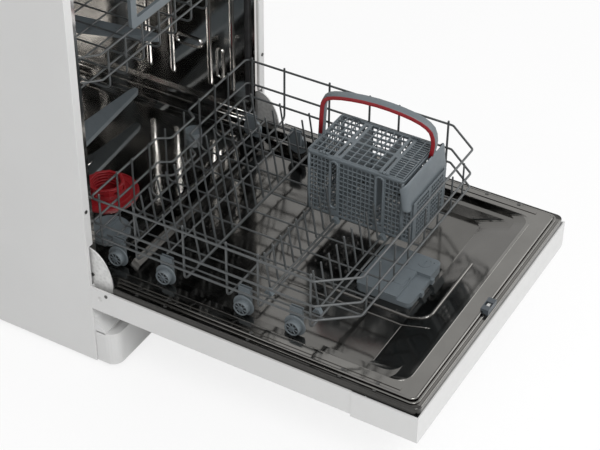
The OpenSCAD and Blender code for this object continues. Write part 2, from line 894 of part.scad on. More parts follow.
module drain_pump()
  color(blue_grey) placed() {
    bar_x([drain_pump_at.x - drain_pump_len, drain_pump_at.y, drain_pump_at.z], drain_pump_r, drain_pump_len);
    sump_duct(drain_pump_at.x - over, filter_at.y, spigot_r);
    block([drain_pump_at.x - drain_pump_len / 2, drain_pump_at.y - drain_pump_r / 2, tray_z + tray_t + snug],
      [drain_pump_at.x - drain_pump_len / 2 + tray_t, drain_pump_at.y + drain_pump_r / 2, drain_pump_at.z]);
    // drain line along the base to the spigot in the rear wall
    post([drain_spigot_x, drain_pump_at.y, service_z], spigot_r - cup_wall, drain_pump_at.z - service_z);
    bar_y([drain_spigot_x, drain_pump_at.y, service_z], spigot_r - cup_wall,
      cab_d - drain_pump_at.y - spigot_len - spigot_inset + over);
    bar_y([drain_spigot_x, cab_d - spigot_inset - spigot_len, service_z], spigot_r, spigot_len);
  }

module water_inlet() {
  y0 = cab_d - spigot_inset - inlet_len - inlet_body.y;
  color(blue_grey) placed() {
    block([inlet_x - inlet_body.x / 2, y0, service_z - inlet_body.z / 2],
      [inlet_x + inlet_body.x / 2, y0 + inlet_body.y, service_z + inlet_body.z / 2]);
    bar_y([inlet_x, y0 + inlet_body.y - over, service_z], inlet_r, inlet_len + over);
    post([inlet_x, y0 + inlet_body.y / 2, service_z + inlet_body.z / 2 - over], coil_r, coil_h + over);
    block([inlet_x - tray_t / 2, y0, tray_z + tray_t + snug],
      [inlet_x + tray_t / 2, y0 + inlet_body.y, service_z]);
  }
}

// Door
module door_profile(half, z0, z1, r) {
  polygon(concat(arc([half - r, z0 + r], r, 270, 360), [[half, z1], [-half, z1]],
    arc([r - half, z0 + r], r, 180, 270)));
}

module door_panel()
  color(white) placed() {
    difference() {
      along_y(console_len - door_len + snug, 0)
        door_profile(half_w, door_z, door_top_z, door_corner_r);
      translate([0, -skin_t, 0])
        along_y(console_len - door_len - over, 0)
          door_profile(half_w - lip_t, door_z + skin_t, door_top_z + over, door_corner_r - skin_t);
      both_sides()
        bar_x([half_w - lip_t - hinge_pin_head_t, hinge_pivot[0], hinge_pivot[1]],
          hinge_pin_r + shaft_gap, lip_t + 2 * hinge_pin_head_t);
    }
    // brackets inside the side walls, which carry the hinge pins
    both_sides()
      difference() {
        block([half_w - lip_t - hinge_bracket_t, hinge_pivot[0] - hinge_bracket.x, door_z + skin_t + snug],
          [half_w - lip_t - snug, hinge_pivot[0] + hinge_pin_head_r, hinge_pivot[1] + hinge_pin_head_r]);
        bar_x([half_w - lip_t - 2 * hinge_bracket_t, hinge_pivot[0], hinge_pivot[1]],
          hinge_pin_r + shaft_gap, 3 * hinge_bracket_t);
      }
  }

console_y = [-door_len, console_len - door_len];
console_z = door_z - console_drop;
button_y = button_from_end - door_len;
grip_y = grip_from_end - door_len;

module console()
  color(white) placed()
    difference() {
      union() {
        difference() {
          along_y(console_y[0], console_y[1])
            door_profile(half_w + console_proud, console_z, door_top_z, door_corner_r);
          translate([0, console_t, 0])
            along_y(console_y[0], console_y[1] + over)
              door_profile(half_w + console_proud - lip_t, console_z + console_t,
                door_top_z + over, door_corner_r - console_t / 2);
        }
        // wall of the finger grip
        block([-grip_size.x / 2 - console_t, grip_y - console_t, console_z + console_t / 2],
          [grip_size.x / 2 + console_t, grip_y + grip_size.y + console_t,
          console_z + grip_size.z + console_t]);
        for (x = [power_x, start_x])
          post([x, button_y, console_z + console_t / 2], button_r + run_gap + button_guide_t,
            button_guide_h);
      }
      block([-grip_size.x / 2, grip_y, console_z - over],
        [grip_size.x / 2, grip_y + grip_size.y, console_z + grip_size.z]);
      for (x = [power_x, start_x])
        post([x, button_y, console_z - over], button_r + run_gap, button_guide_h + 2 * over);
    }

module button(x)
  color("silver") placed() {
    post([x, button_y, console_z - button_proud], button_r, button_h);
    post([x, button_y, console_z - button_proud + over], button_stem_r, button_guide_h);
  }

wheel_x = half_w - wheel_face_x;
axle_z = track_z + wheel_d / 2 + run_gap;
liner_half = half_w - lip_t - liner_gap;
liner_y = [-door_len + console_t + liner_gap, -liner_end_gap];
track_half = half_w - track_w - lip_t;
basin_x = wheel_x - wheel_w + flange_t + flange_room;
groove_x = [wheel_x - wheel_w - shaft_gap - over, basin_x];
groove_z = axle_z - flange_r - over;
basin_y = [liner_y[0] + basin_front_gap, liner_y[1] - basin_back_gap];

module liner_step(inset, z0, z1)
  plate([inset - liner_half, liner_half - inset], [liner_y[0] + inset, liner_y[1] - inset], [z0, z1], liner_corner_r);

// Front of the basin at a height: a long slope from the crease up to the rim
function front_at(z) = crease_y - (crease_y - basin_y[0]) * (z - basin_z) / basin_h;

// Pan between two heights, grown by the sheet's thickness for its outside
module pan(half, rear, z, grow)
  hull()
    for (i = [0, 1])
      plate([-half[i] - grow, half[i] + grow], [front_at(z[i]) - grow, rear[i] + grow],
        [z[i] - grow / (i + 1), z[i] - grow / (i + 1) + snug], basin_r + grow);

module basin(grow)
  pan([basin_x - basin_draft, basin_x], [basin_y[1] - basin_draft, basin_y[1]], [basin_z, track_z], grow);

// Shallow channel of the wheels' track, open towards the tub
module track_pan(grow)
  pan([track_half - over, track_half], [liner_y[1] + 2 * basin_r, liner_y[1] + 2 * basin_r], [track_z, rim_z], grow);

// Ways of the wheels' flanges through the basin's rear edge
module flange_ways(grow, z0, z1)
  both_sides()
    block([groove_x[0] - grow, basin_y[1] - basin_r - basin_draft, z0], [groove_x[1] + grow, over, z1]);

module liner_body(inset, low, high) {
  liner_step(inset, low, door_top_z + liner_ledge_h - inset);
  liner_step(inset + liner_ledge_w + liner_slope_w, low, high);
}

module door_liner()
  color(steel) placed() {
    difference() {
      union() {
        difference() {
          liner_body(0, door_top_z, rim_z);
          liner_body(liner_t, door_top_z - over, rim_z - liner_t);
        }
        basin(liner_t);
        intersection() {
          union() {
            track_pan(liner_t);
            flange_ways(liner_t, groove_z - liner_t, track_z - liner_t / 2);
          }
          liner_body(0, basin_z, rim_z);
        }
        both_sides()
          block([liner_half - rail_bead[1], basin_y[0], rim_z - liner_t / 2],
            [liner_half - rail_bead[0], basin_y[1], rim_z + rail_bead[2]]);
      }
      basin(0);
      track_pan(0);
      flange_ways(0, groove_z, track_z + over);
      block([disp_x[0] - liner_gap, disp_y[0] - liner_gap, basin_z - 2 * liner_t],
        [disp_x[1] + liner_gap, disp_y[1] + liner_gap, basin_z + over]);
      // seat of the lock
      block([lock_at.x - lock_size.x / 2 - liner_gap, liner_y[0] + liner_t, door_top_z + liner_ledge_h + snug / 2],
        [lock_at.x + lock_size.x / 2 + liner_gap, lock_at.y + lock_size.y / 2 + liner_gap, rim_z + over]);
      both_sides()
        block([liner_half - hinge_notch.x, liner_y[1] - hinge_notch.y, door_top_z - over],
          [liner_half + over, liner_y[1] + over, rim_z + over]);
    }
    basin_folds();
  }

// The half-round folds that catch the light round the dispenser
module basin_folds() {
  slope_a = atan2(basin_h, crease_y - basin_y[0]);
  run = (crease_y - fold_y) / cos(slope_a);
  translate([0, crease_y, basin_z]) {
    // on the slope
    rotate([-slope_a, 0, 0])
      above_sheet() {
        bar_x([fold_x + fold_corner_r, -run, 0], fold_r, fold_end_x - fold_x - fold_corner_r);
        translate([fold_x + fold_corner_r, fold_corner_r - run, 0])
          rotate([0, 0, 180])
            rotate_extrude(angle = 90)
              translate([fold_corner_r, 0])
                circle(r = fold_r);
        translate([fold_end_x, -run, 0])
          sphere(r = fold_r);
        bar_y([fold_x, fold_corner_r - run, 0], fold_r, run - fold_corner_r - fold_gap);
      }
    // on the floor
    above_sheet() {
      bar_y([fold_x, fold_gap, 0], fold_r, fold_back_y - crease_y - fold_gap);
      bar_y([fold2_x, fold_gap, 0], fold_r / 2, fold2_back_y - crease_y - fold_gap);
    }
  }
}

module above_sheet()
  intersection() {
    union()
      children();
    block([-half_w, -door_len, -liner_t / 2], [half_w, door_len, fold_r + over]);
  }

module dispenser() {
  mid_x = (disp_x[0] + disp_x[1]) / 2;
  mid_y = (disp_y[0] + disp_y[1]) / 2;
  lid_z = disp_top_z - lid_t - lid_gap;
  color(blue_grey) placed()
    difference() {
      union() {
        // darker body in the pocket
        plate([disp_x[0] + disp_inset, disp_x[1] - disp_inset], [disp_y[0] + disp_inset, disp_y[1] - disp_inset],
          [disp_top_z - disp_depth, disp_top_z - disp_step_h + over], disp_corner_r - disp_inset);
        // flange under the upper shell, which closes the liner's cut-out
        plate(disp_x, disp_y, [basin_z + snug, disp_top_z - disp_step_h], disp_corner_r);
        plate(disp_x, disp_y, [disp_top_z - disp_step_h - over, disp_top_z], disp_corner_r);
        for (share = [0.3, 0.62])
          translate([disp_x[0] + share * (disp_x[1] - disp_x[0]), disp_y[0] - clip_size.y + over, basin_z + snug])
            cube([clip_size.x, clip_size.y, clip_size.z]);
      }
      // way of the sliding lid, which runs on over the sunken slope
      block([disp_x[0] - over, disp_y[0] - over, lid_z - run_gap],
        [disp_split_x, disp_y[1] - cup_wall_t, disp_top_z + over]);
      block([disp_x[0] - over, disp_y[0] - over, lid_z - slope_h],
        [disp_split_x, lid_end_y, disp_top_z + over]);
      // detergent chamber
      plate([disp_x[0] + disp_inset + cup_wall_t, disp_split_x - cup_wall_t],
        [lid_end_y + cup_wall_t, disp_y[1] - disp_inset - 2 * cup_wall_t],
        [lid_z - detergent_depth, disp_top_z + over], disp_corner_r - disp_inset);
      post([rinse_at.x, rinse_at.y, disp_top_z - rinse_t], rinse_r + run_gap, rinse_t + over);
      for (i = [0:vent_holes - 1])
        post([disp_x[1] - disp_corner_r, disp_y[0] + disp_corner_r + i * vent_hole_pitch, disp_top_z - rinse_t],
          vent_hole_r, rinse_t + over);
      translate([mark_at.x, mark_at.y, disp_top_z - mark_h])
        difference() {
          cylinder(h = mark_h + over, r = mark_r);
          translate([0, 0, -over])
            cylinder(h = mark_h + 3 * over, r = mark_r - mark_h);
        }
    }
}

module dispenser_lid() {
  z0 = disp_top_z - lid_t - lid_gap + run_gap / 2;
  color(blue_grey) placed()
    difference() {
      union() {
        plate([disp_x[0], disp_split_x - lid_gap], [lid_end_y, disp_y[1] - cup_wall_t - lid_gap],
          [z0, disp_top_z], mark_h * 4);
        translate([lid_mark_at.x, lid_mark_at.y, disp_top_z - over])
          linear_extrude(over + lid_mark.z)
            polygon(rounded(lid_mark.x, lid_mark.y, mark_h * 4));
      }
      // crescent finger recess across the lid's end
      intersection() {
        post([lid_mark_at.x, lid_end_y + thumb_r - thumb_w / 4, disp_top_z - thumb_h], thumb_r, thumb_h + over);
        difference() {
          block([disp_x[0], lid_end_y + over, disp_top_z - thumb_h],
            [disp_split_x, lid_end_y + thumb_w / 2, disp_top_z + over]);
        }
      }
    }
}

module rinse_cap()
  color(blue_grey) placed()
    translate([rinse_at.x, rinse_at.y, disp_top_z - rinse_t + run_gap])
      difference() {
        cylinder(h = rinse_t, r = rinse_r);
        translate([-rinse_slot.x / 2, -rinse_slot.y / 2, rinse_t - rinse_slot.z])
          cube([rinse_slot.x, rinse_slot.y, rinse_slot.z + over]);
      }

// Hinges, lock and screws
module hinge_outline() {
  quarter_r = [hinge_quarter[0] - hinge_front_y, hinge_quarter[1] - hinge_arm_z[1]];
  polygon(concat(
    [for (i = [0:2 * arc_n]) let (a = 90 + 90 * i / (2 * arc_n))
    [hinge_quarter[0] + quarter_r[0] * cos(a), hinge_arm_z[1] + quarter_r[1] * sin(a)]],
    [[hinge_front_y, hinge_arm_z[0]], [hinge_back_y, hinge_arm_z[0]], [hinge_back_y, hinge_arm_z[1]],
    [hinge_quarter[0], hinge_arm_z[1]]]));
}

module door_hinges()
  color(steel) placed()
    both_sides()
      difference() {
        along_x(half_w - hinge_x - hinge_plate_t, half_w - hinge_x)
          hinge_outline();
        bar_x([half_w - hinge_x - 2 * hinge_plate_t, hinge_pivot[0], hinge_pivot[1]],
          hinge_pin_r + shaft_gap, 3 * hinge_plate_t);
        // the end wall of the door passes here
        block([half_w - hinge_x - 2 * hinge_plate_t, -skin_t - run_gap, hinge_arm_z[0] - over],
          [half_w, run_gap, door_top_z + run_gap]);
      }

module hinge_pins()
  color("gray") placed()
    both_sides() {
      bar_x([half_w - hinge_x - hinge_plate_t - hinge_pin_head_t, hinge_pivot[0], hinge_pivot[1]],
        hinge_pin_r, hinge_x + hinge_plate_t + hinge_pin_head_t - door_corner_r / 4);
      bar_x([half_w - hinge_x - hinge_plate_t - hinge_pin_head_t - snug, hinge_pivot[0], hinge_pivot[1]],
        hinge_pin_head_r, hinge_pin_head_t);
    }

module door_lock()
  color(black) placed() {
    difference() {
      block([lock_at.x - lock_size.x / 2, lock_at.y - lock_size.y / 2, door_top_z + liner_ledge_h + snug],
        [lock_at.x + lock_size.x / 2, lock_at.y + lock_size.y / 2,
        door_top_z + liner_ledge_h + snug + lock_size.z]);
      block([lock_at.x - lock_slot.x / 2, lock_at.y - lock_slot.y / 2, door_top_z + liner_ledge_h],
        [lock_at.x + lock_slot.x / 2, lock_at.y + lock_slot.y / 2, rim_z + lock_size.z + over]);
    }
    // catch in the tub's mouth, which the latch meets when the door is shut
    block([lock_at.x - catch_size.x / 2, tub_front_y, tub_top_z + tub_t + snug],
      [lock_at.x + catch_size.x / 2, tub_front_y + catch_size.y, under_top_z - snug]);
  }

module lock_latch()
  color("silver") placed()
    block([lock_at.x - latch_size.x / 2, lock_at.y - latch_size.y / 2, door_top_z + liner_ledge_h + snug],
      [lock_at.x + latch_size.x / 2, lock_at.y + latch_size.y / 2,
      door_top_z + liner_ledge_h + snug + latch_size.z]);

module screws()
  color("gray") placed() {
    both_sides()
      for (y = screw_pairs_y) {
        post([liner_half - liner_ledge_w / 2 - liner_slope_w / 2, y, door_top_z + liner_ledge_h + snug],
          screw_r, screw_h);
        post([liner_half - liner_ledge_w - liner_slope_w - screw_r - over, y, rim_z + snug],
          screw_r, screw_h);
      }
    both_sides() {
      bar_x([half_w + snug, side_screws[0][0], side_screws[0][1]], screw_r, side_screw_h);
      translate([half_w - hinge_jamb_w, -snug, side_screws[1][0]])
        rotate([90, 0, 0])
          cylinder(h = screw_h, r = screw_r);
      bar_x([half_w - hinge_x + snug, 0, hinge_arm_z[1] + jamb_w], screw_r, screw_h);
    }
  }

// Lower rack
wire_r = wire_d / 2;
long_r = long_wire_d / 2;
tine_r = tine_d / 2;
rail_half = rack_w / 2 - wire_r;
rack_floor_h = rack_top_z - floor_z;
rack_len = rack_rear_y - rack_front_y;
rack_rail_z = [for (share = rail_z_shares) floor_z + share * rack_floor_h];
rail_front = rack_front_y + wire_r;
rail_rear = rack_rear_y - wire_r;
rail_path = [
  [0, rail_front], [rail_half - chamfer_x, rail_front], [rail_half, rail_front + chamfer_y],
  [rail_half, rail_rear], [notch_w / 2 + notch_slope, rail_rear], [notch_w / 2, rail_rear - notch_d],
  [0, rail_rear - notch_d]];
cross_half = rail_half - 2 * wire_r - snug;
cross_path = [[0, floor_z], [cross_half, floor_z], [cross_half, rack_top_z + post_over]];
cross_y = [for (share = post_y_shares) rail_rear - share * rack_len];
long_z = floor_z + wire_r + long_r + snug;
long_in = wire_r + long_r + snug;
long_path = [[rail_front + long_in, long_front_z], [rail_front + long_in, long_z],
  [rail_rear - long_in, long_z], [rail_rear - long_in, rack_top_z + post_over]];
long_x = [for (share = long_x_shares) share * (rail_half - chamfer_x)];

module rack_rails()
  color(wire_grey) placed()
    both_sides()
      for (z = rack_rail_z)
        translate([0, 0, z])
          rods(rail_path, wire_r, rail_bend_r);

module rack_wires()
  color(wire_grey) placed() {
    both_sides()
      for (y = cross_y)
        across(y)
          rods(cross_path, wire_r, wire_bend_r);
    both_sides()
      for (x = long_x)
        lengthways(x)
          rods(long_path, long_r, wire_bend_r);
    // the wires that carry the wheel clips
    both_sides()
      bar_y([clip_x + clip_t / 2, rail_front + chamfer_y, long_z], long_r, rail_rear - rail_front - chamfer_y - long_in);
  }

module rack_bends()
  color(wire_grey) placed() {
    both_sides()
      for (z = rack_rail_z)
        translate([0, 0, z])
          bends(rail_path, wire_r, rail_bend_r);
    both_sides()
      for (y = cross_y)
        across(y)
          bends(cross_path, wire_r, wire_bend_r);
    both_sides()
      for (x = long_x)
        lengthways(x)
          bends(long_path, long_r, wire_bend_r);
  }

tine_z = floor_z + wire_r + 2 * long_r + 2 * snug + tine_r;
row_z = tine_z + run_gap - snug; // the folding rows turn just above the wires

// A row of leaning tines beside the bar that carries them
module tine(x, y, z)
  translate([x, y + 2 * tine_r + snug, z])
    rotate([-tine_lean, 0, 0])
      cylinder(h = tine_h, r = tine_r);

module tine_row(y) {
  bar_x([row_x - tine_pitch / 2, y, row_z], tine_r, tine_pitch * tine_n);
  for (i = [0:tine_n - 1])
    tine(row_x + i * tine_pitch, y, row_z);
}

module tine_row_front()
  color(wire_grey) placed()
    tine_row(row_y[0]);

module tine_row_rear()
  color(wire_grey) placed()
    tine_row(row_y[1]);

module rack_tines()
  color(wire_grey) placed()
    for (y = fixed_row_y) {
      bar_x([row_x - tine_pitch / 2, y, tine_z], tine_r, -2 * row_x + tine_pitch);
      for (x = [row_x:tine_pitch:-row_x])
        tine(x, y, tine_z);
    }

clip_x = wheel_x - wheel_w - clip_gap_x - clip_t;

module rack_clips()
  color(blue_grey) placed() {
    both_sides()
      for (y = wheel_y) {
        difference() {
          union() {
            block([clip_x, y - clip_w / 2, axle_z], [clip_x + clip_t, y + clip_w / 2, long_z + clip_top / 2]);
            bar_x([clip_x, y, axle_z], clip_foot_r, clip_t);
          }
          bar_y([clip_x + clip_t / 2, y - clip_w, long_z], long_r + snug, 2 * clip_w);
          translate([clip_x + clip_t / 2 - long_r, y - clip_w, long_z])
            cube([2 * long_r, 2 * clip_w, clip_top]);
        }
        bar_x([clip_x + over, y, axle_z], wheel_axle_r, clip_t + clip_gap_x + wheel_w - over + run_gap);
        bar_x([wheel_x + run_gap / 2, y, axle_z], axle_head_r, axle_head_t);
      }
    // cradles in which the folding rows turn
    for (y = row_y)
      for (x = [row_x - tine_pitch / 2 + snug,
        row_x + (tine_n - 1 / 2) * tine_pitch - cradle_size.x - snug])
        difference() {
          along_x(x, x + cradle_size.x)
            polygon([[y - cradle_size.y / 2, floor_z + wire_r + snug],
              [y + cradle_size.y / 2, floor_z + wire_r + snug],
              [y + tine_d, row_z + tine_d], [y - tine_d, row_z + tine_d]]);
          bar_x([x - over, y, row_z], tine_r + shaft_gap, cradle_size.x + 2 * over);
        }
  }

// A flanged wheel with its axle along x and its outer face at +x
module wheel_body()
  difference() {
    rotate([0, 90, 0])
      rotate_extrude()
        polygon([[wheel_axle_r + shaft_gap, 0], [flange_r, 0], [flange_r, flange_t],
          [wheel_d / 2, flange_t + over], [wheel_d / 2, flange_t + tread_w],
          [wheel_d / 2 - over, wheel_w - over], [wheel_d / 2 - 2 * over, wheel_w - over],
          [wheel_hub_r, wheel_w - over], [wheel_hub_r - over, wheel_w], [wheel_axle_r + shaft_gap, wheel_w]]);
    for (i = [0:spoke_n - 1])
      translate([flange_t + over, 0, 0])
        rotate([i * 360 / spoke_n, 0, 0])
          rotate([0, 90, 0])
            rotate_extrude(angle = spoke_gap_a)
              translate([spoke_gap[0], 0])
                square([spoke_gap[1] - spoke_gap[0], wheel_w]);
  }

module wheel(side, i)
  color(blue_grey) placed()
    mirror([side == "left" ? 1 : 0, 0, 0])
      translate([wheel_x - wheel_w, wheel_y[i - 1], axle_z])
        wheel_body();

// Cutlery basket
basket_z = long_z + long_r + run_gap;
basket_right = basket_x + basket_size.x;
basket_rear = basket_y + basket_size.y;
basket_top_z = basket_z + basket_size.z;
handle_x = basket_x + handle_x_share * basket_size.x;

// A flat wall with a grid of windows, in its own plane
module mesh_outline(w, h, slots = []) {
  n = [floor((w - 2 * basket_foot_h / 2) / mesh_pitch.x), floor((h - basket_foot_h - basket_rim_h) / mesh_pitch.y)];
  margin = (w - n.x * mesh_pitch.x + mesh_bar) / 2;
  difference() {
    square([w, h]);
    for (i = [0:n.x - 1])
      for (j = [0:n.y - 1])
        if (len([for (s = slots) if (abs(margin + (i + 1 / 2) * mesh_pitch.x - s) < slot_size.x / 2 + slot_frame) s]) == 0)
          translate([margin + i * mesh_pitch.x, basket_foot_h + j * mesh_pitch.y])
            square([mesh_pitch.x - mesh_bar, mesh_pitch.y - mesh_bar]);
    for (s = slots)
      translate([s, h - basket_rim_h - slot_size.y / 2])
        polygon(rounded(slot_size.x - mesh_bar, slot_size.y, slot_frame));
  }
}

module cutlery_basket() {
  inner_x = basket_x + basket_wall + snug;
  inner_w = basket_size.x - 2 * basket_wall - 2 * snug;
  color(blue_grey) placed() {
    // floor
    translate([0, 0, basket_z])
      linear_extrude(basket_wall)
        translate([basket_x, basket_y])
          mesh_outline_floor();
    // long walls
    for (x = [basket_x, basket_right - basket_wall])
      translate([x, basket_y, basket_z + basket_wall + snug])
        rotate([90, 0, 90])
          linear_extrude(basket_wall)
            mesh_outline(basket_size.y, basket_size.z - basket_wall - snug,
              [for (share = slot_y_shares) share * basket_size.y]);
    // short walls and dividers
    for (y = concat([basket_y, basket_rear - basket_wall],
      [for (share = divider_y_shares) basket_y + share * basket_size.y]))
      translate([inner_x, y + basket_wall, basket_z + basket_wall + snug])
        rotate([90, 0, 0])
          linear_extrude(basket_wall)
            mesh_outline(inner_w, basket_size.z - basket_wall - snug - lid_h);
    front_compartment();
  }
}

module mesh_outline_floor() {
  n = [floor((basket_size.x - basket_foot_h) / mesh_pitch.x), floor((basket_size.y - basket_foot_h) / mesh_pitch.y)];
  margin = [(basket_size.x - n.x * mesh_pitch.x + mesh_bar) / 2, (basket_size.y - n.y * mesh_pitch.y + mesh_bar) / 2];
  difference() {
    square([basket_size.x, basket_size.y]);
    for (i = [0:n.x - 1])
      for (j = [0:n.y - 1])
        translate([margin.x + i * mesh_pitch.x, margin.y + j * mesh_pitch.y])
          square([mesh_pitch.x - mesh_bar, mesh_pitch.y - mesh_bar]);
  }
}

// The shallow compartment ahead of the body, for small cutlery
module front_compartment() {
  y0 = basket_y - basket_front_d;
  z1 = basket_z + basket_front_h;
  block([basket_x, y0, basket_z], [basket_right, basket_y - snug, basket_z + basket_wall]);
  translate([basket_x, y0 + basket_wall, basket_z + basket_wall + snug])
    rotate([90, 0, 0])
      linear_extrude(basket_wall)
        mesh_outline(basket_size.x, basket_front_h);
  for (x = [basket_x, basket_right - basket_wall])
    block([x, y0 + basket_wall + snug, basket_z + basket_wall + snug],
      [x + basket_wall, basket_y - snug, z1]);
}

// Curved shield over the basket's front edge
module basket_shield() {
  mid = basket_x + basket_size.x / 2;
  shield_r = (shield_h * shield_h / 4 + shield_bulge * shield_bulge) / (2 * shield_bulge);
  half_a = asin(shield_h / 2 / shield_r);
  centre = [basket_y + shield_r - shield_bulge - shield_t * cos(half_a) - snug, basket_top_z - shield_h / 2];
  color(blue_grey) placed()
    along_x(mid - shield_w / 2, mid + shield_w / 2)
      polygon(concat(arc(centre, shield_r, 180 - half_a, 180 + half_a, 2 * arc_n),
        arc(centre, shield_r - shield_t, 180 + half_a, 180 - half_a, 2 * arc_n)));
}

handle_y = [basket_y - basket_front_d - snug, basket_rear + snug]; // inner faces of its uprights

module basket_handle() {
  r = handle_bend_r;
  color(blue_grey) placed() {
    // uprights
    for (y = [handle_y[0] - handle_t, handle_y[1]])
      block([handle_x - handle_w / 2, y, basket_z + basket_wall],
        [handle_x + handle_w / 2, y + handle_t, basket_z + handle_h - r - snug]);
    // top bar
    block([handle_x - handle_w / 2, handle_y[0] - handle_t + r + snug, basket_z + handle_h - handle_t],
      [handle_x + handle_w / 2, handle_y[1] + handle_t - r - snug, basket_z + handle_h]);
    // rounded corners
    for (side = [0, 1])
      translate([handle_x, side == 0 ? handle_y[0] - handle_t + r : handle_y[1] + handle_t - r,
        basket_z + handle_h - r])
        rotate([0, 0, side == 0 ? -90 : 90])
          rotate([90, 0, 0])
            rotate_extrude(angle = 90)
              translate([r - handle_t, -handle_w / 2])
                square([handle_t, handle_w]);
  }
}

lid_half_w = basket_size.x / 2 - basket_wall - 2 * run_gap;

// One half of the grid lid, hinged along the basket's outer rim
module lid_half() {
  lid_z0 = basket_top_z - lid_h;
  y0 = basket_y + basket_wall;
  depth = basket_size.y - 2 * basket_wall;
  cell = [(lid_half_w - lid_bar) / lid_grid_n.x, (depth - lid_bar) / lid_grid_n.y];
  difference() {
    union() {
      translate([0, y0, lid_z0 + run_gap])
        linear_extrude(lid_h)
          difference() {
            square([lid_half_w, depth]);
            for (i = [0:lid_grid_n.x - 1])
              for (j = [0:lid_grid_n.y - 1])
                translate([lid_bar + i * cell.x, lid_bar + j * cell.y])
                  square([cell.x - lid_bar, cell.y - lid_bar]);
          }
      for (share = knuckle_y_shares)
        bar_y([0, basket_y + share * basket_size.y - knuckle_len / 2, basket_top_z + lid_hinge_r + run_gap],
          lid_hinge_r, knuckle_len);
    }
  }
}

module basket_lid_left()
  color(blue_grey) placed()
    translate([basket_x + basket_wall + run_gap, 0, 0])
      lid_half();

module basket_lid_right()
  color(blue_grey) placed()
    translate([basket_right - basket_wall - run_gap, 0, 0])
      mirror([1, 0, 0])
        lid_half();

// Upper rack
upper_r = upper_wire_d / 2;
upper_half = upper_w / 2 - upper_r;
upper_rear_y = upper_front_y + upper_d;
upper_path = [[0, upper_front_y], [upper_half - upper_chamfer, upper_front_y], [upper_half, upper_front_y + upper_chamfer],
  [upper_half, upper_rear_y], [0, upper_rear_y]];
upper_cross_half = upper_half - 2 * upper_r - snug;
upper_cross_path = [[0, upper_floor_z], [upper_cross_half, upper_floor_z], [upper_cross_half, upper_top_z]];
upper_cross_y = [for (i = [0:upper_post_n - 1])
  upper_front_y + upper_chamfer + wire_d + i * (upper_d - upper_chamfer - 3 * wire_d) / (upper_post_n - 1)];
upper_long_z = upper_floor_z + 2 * upper_r + snug;
upper_long_path = [[upper_front_y + 2 * upper_r + snug, upper_top_z], [upper_front_y + 2 * upper_r + snug, upper_long_z],
  [upper_rear_y - 2 * upper_r - snug, upper_long_z], [upper_rear_y - 2 * upper_r - snug, upper_top_z]];
upper_long_x = [for (i = [0:upper_long_n / 2 - 1])
  (i + 1 / 2) * (upper_half - upper_chamfer) / (upper_long_n / 2)];

module upper_wire(path, bend_r) {
  rods(path, upper_r, bend_r, snug);
  bends(path, upper_r, bend_r);
}

module upper_rack()
  color(wire_grey) placed()
    both_sides() {
      for (z = [upper_top_z, upper_mid_z])
        translate([0, 0, z])
          upper_wire(upper_path, rail_bend_r);
      for (y = upper_cross_y)
        across(y)
          upper_wire(upper_cross_path, wire_bend_r);
      for (x = upper_long_x)
        lengthways(x)
          upper_wire(upper_long_path, wire_bend_r);
    }

// Grip clipped over the middle of the front rail
module rack_grip()
  color(blue_grey) placed()
    along_y(upper_front_y - grip_plate_t / 2, upper_front_y + grip_plate_t / 2)
      difference() {
        translate([0, upper_top_z + upper_r + snug + upper_grip.y / 2])
          polygon(rounded(upper_grip.x, upper_grip.y, grip_corner_r));
        translate([0, upper_top_z + upper_r + snug + upper_grip.y / 2 + grip_corner_r / 2])
          polygon(rounded(upper_grip.x - 4 * grip_corner_r, upper_grip.y - 3 * grip_corner_r,
            grip_corner_r / 2));
      }

// Carrier beside each side of the rack, with the rollers that run in the guide rails
module upper_carriers() {
  x = [upper_half + upper_r + snug, upper_half + upper_r + snug + carrier_t];
  roller_x = tub_half - emboss_t - snug - guide_t - run_gap - roller_t;
  both_sides() {
    block([x[0], roller_y[0] - guide_size.y / 2, upper_mid_z - carrier_over],
      [x[1], roller_y[1] + guide_size.y / 2, upper_top_z + carrier_over]);
    for (y = roller_y) {
      bar_x([x[1] - over, y, guide_z + guide_size.y / 2], roller_axle_r, roller_x - x[1] + 2 * over);
      bar_x([roller_x, y, guide_z + guide_size.y / 2], guide_size.y / 2 - guide_t - run_gap, roller_t);
    }
  }
}

// Pipe under the upper rack, from the back wall's port to the arm's hub
module upper_feed() {
  pipe_top = upper_floor_z - upper_r - snug;
  color(blue_grey) placed() {
    upper_carriers();
    block([-feed_w / 4, upper_arm_at.y, pipe_top - pipe_h], [feed_w / 4, tub_d - feed_t - run_gap, pipe_top]);
    post([upper_arm_at.x, upper_arm_at.y, upper_arm_z[1] + arm_hub_gap], arm_pin_r,
      pipe_top - upper_arm_z[1] - arm_hub_gap);
    post([upper_arm_at.x, upper_arm_at.y, upper_arm_z[0] - arm_hub_gap], arm_pin_r / 2,
      upper_arm_z[1] - upper_arm_z[0] + 2 * arm_hub_gap + over);
    post([upper_arm_at.x, upper_arm_at.y, upper_arm_z[0] - arm_hub_gap - arm_nut_h], arm_pin_r, arm_nut_h);
  }
}

module guide_rails()
  color(steel) placed()
    both_sides()
      along_y(guide_y[0], guide_y[1])
        translate([tub_half - emboss_t - snug - guide_size.x, guide_z])
          difference() {
            square(guide_size);
            translate([-over, guide_t])
              square([guide_size.x - guide_t + over, guide_size.y - 2 * guide_t]);
          }

// Spray arms
module arm_outline(reach)
  polygon([[0, -arm_root_w / 2], [reach - arm_tip_w / 2, -arm_tip_w / 2], [reach, -arm_tip_w / 4],
    [reach, arm_tip_w / 4], [reach - arm_tip_w / 2, arm_tip_w / 2], [0, arm_root_w / 2],
    [arm_tip_w / 2 - reach, arm_tip_w / 2], [-reach, arm_tip_w / 4], [-reach, -arm_tip_w / 4],
    [arm_tip_w / 2 - reach, -arm_tip_w / 2]]);

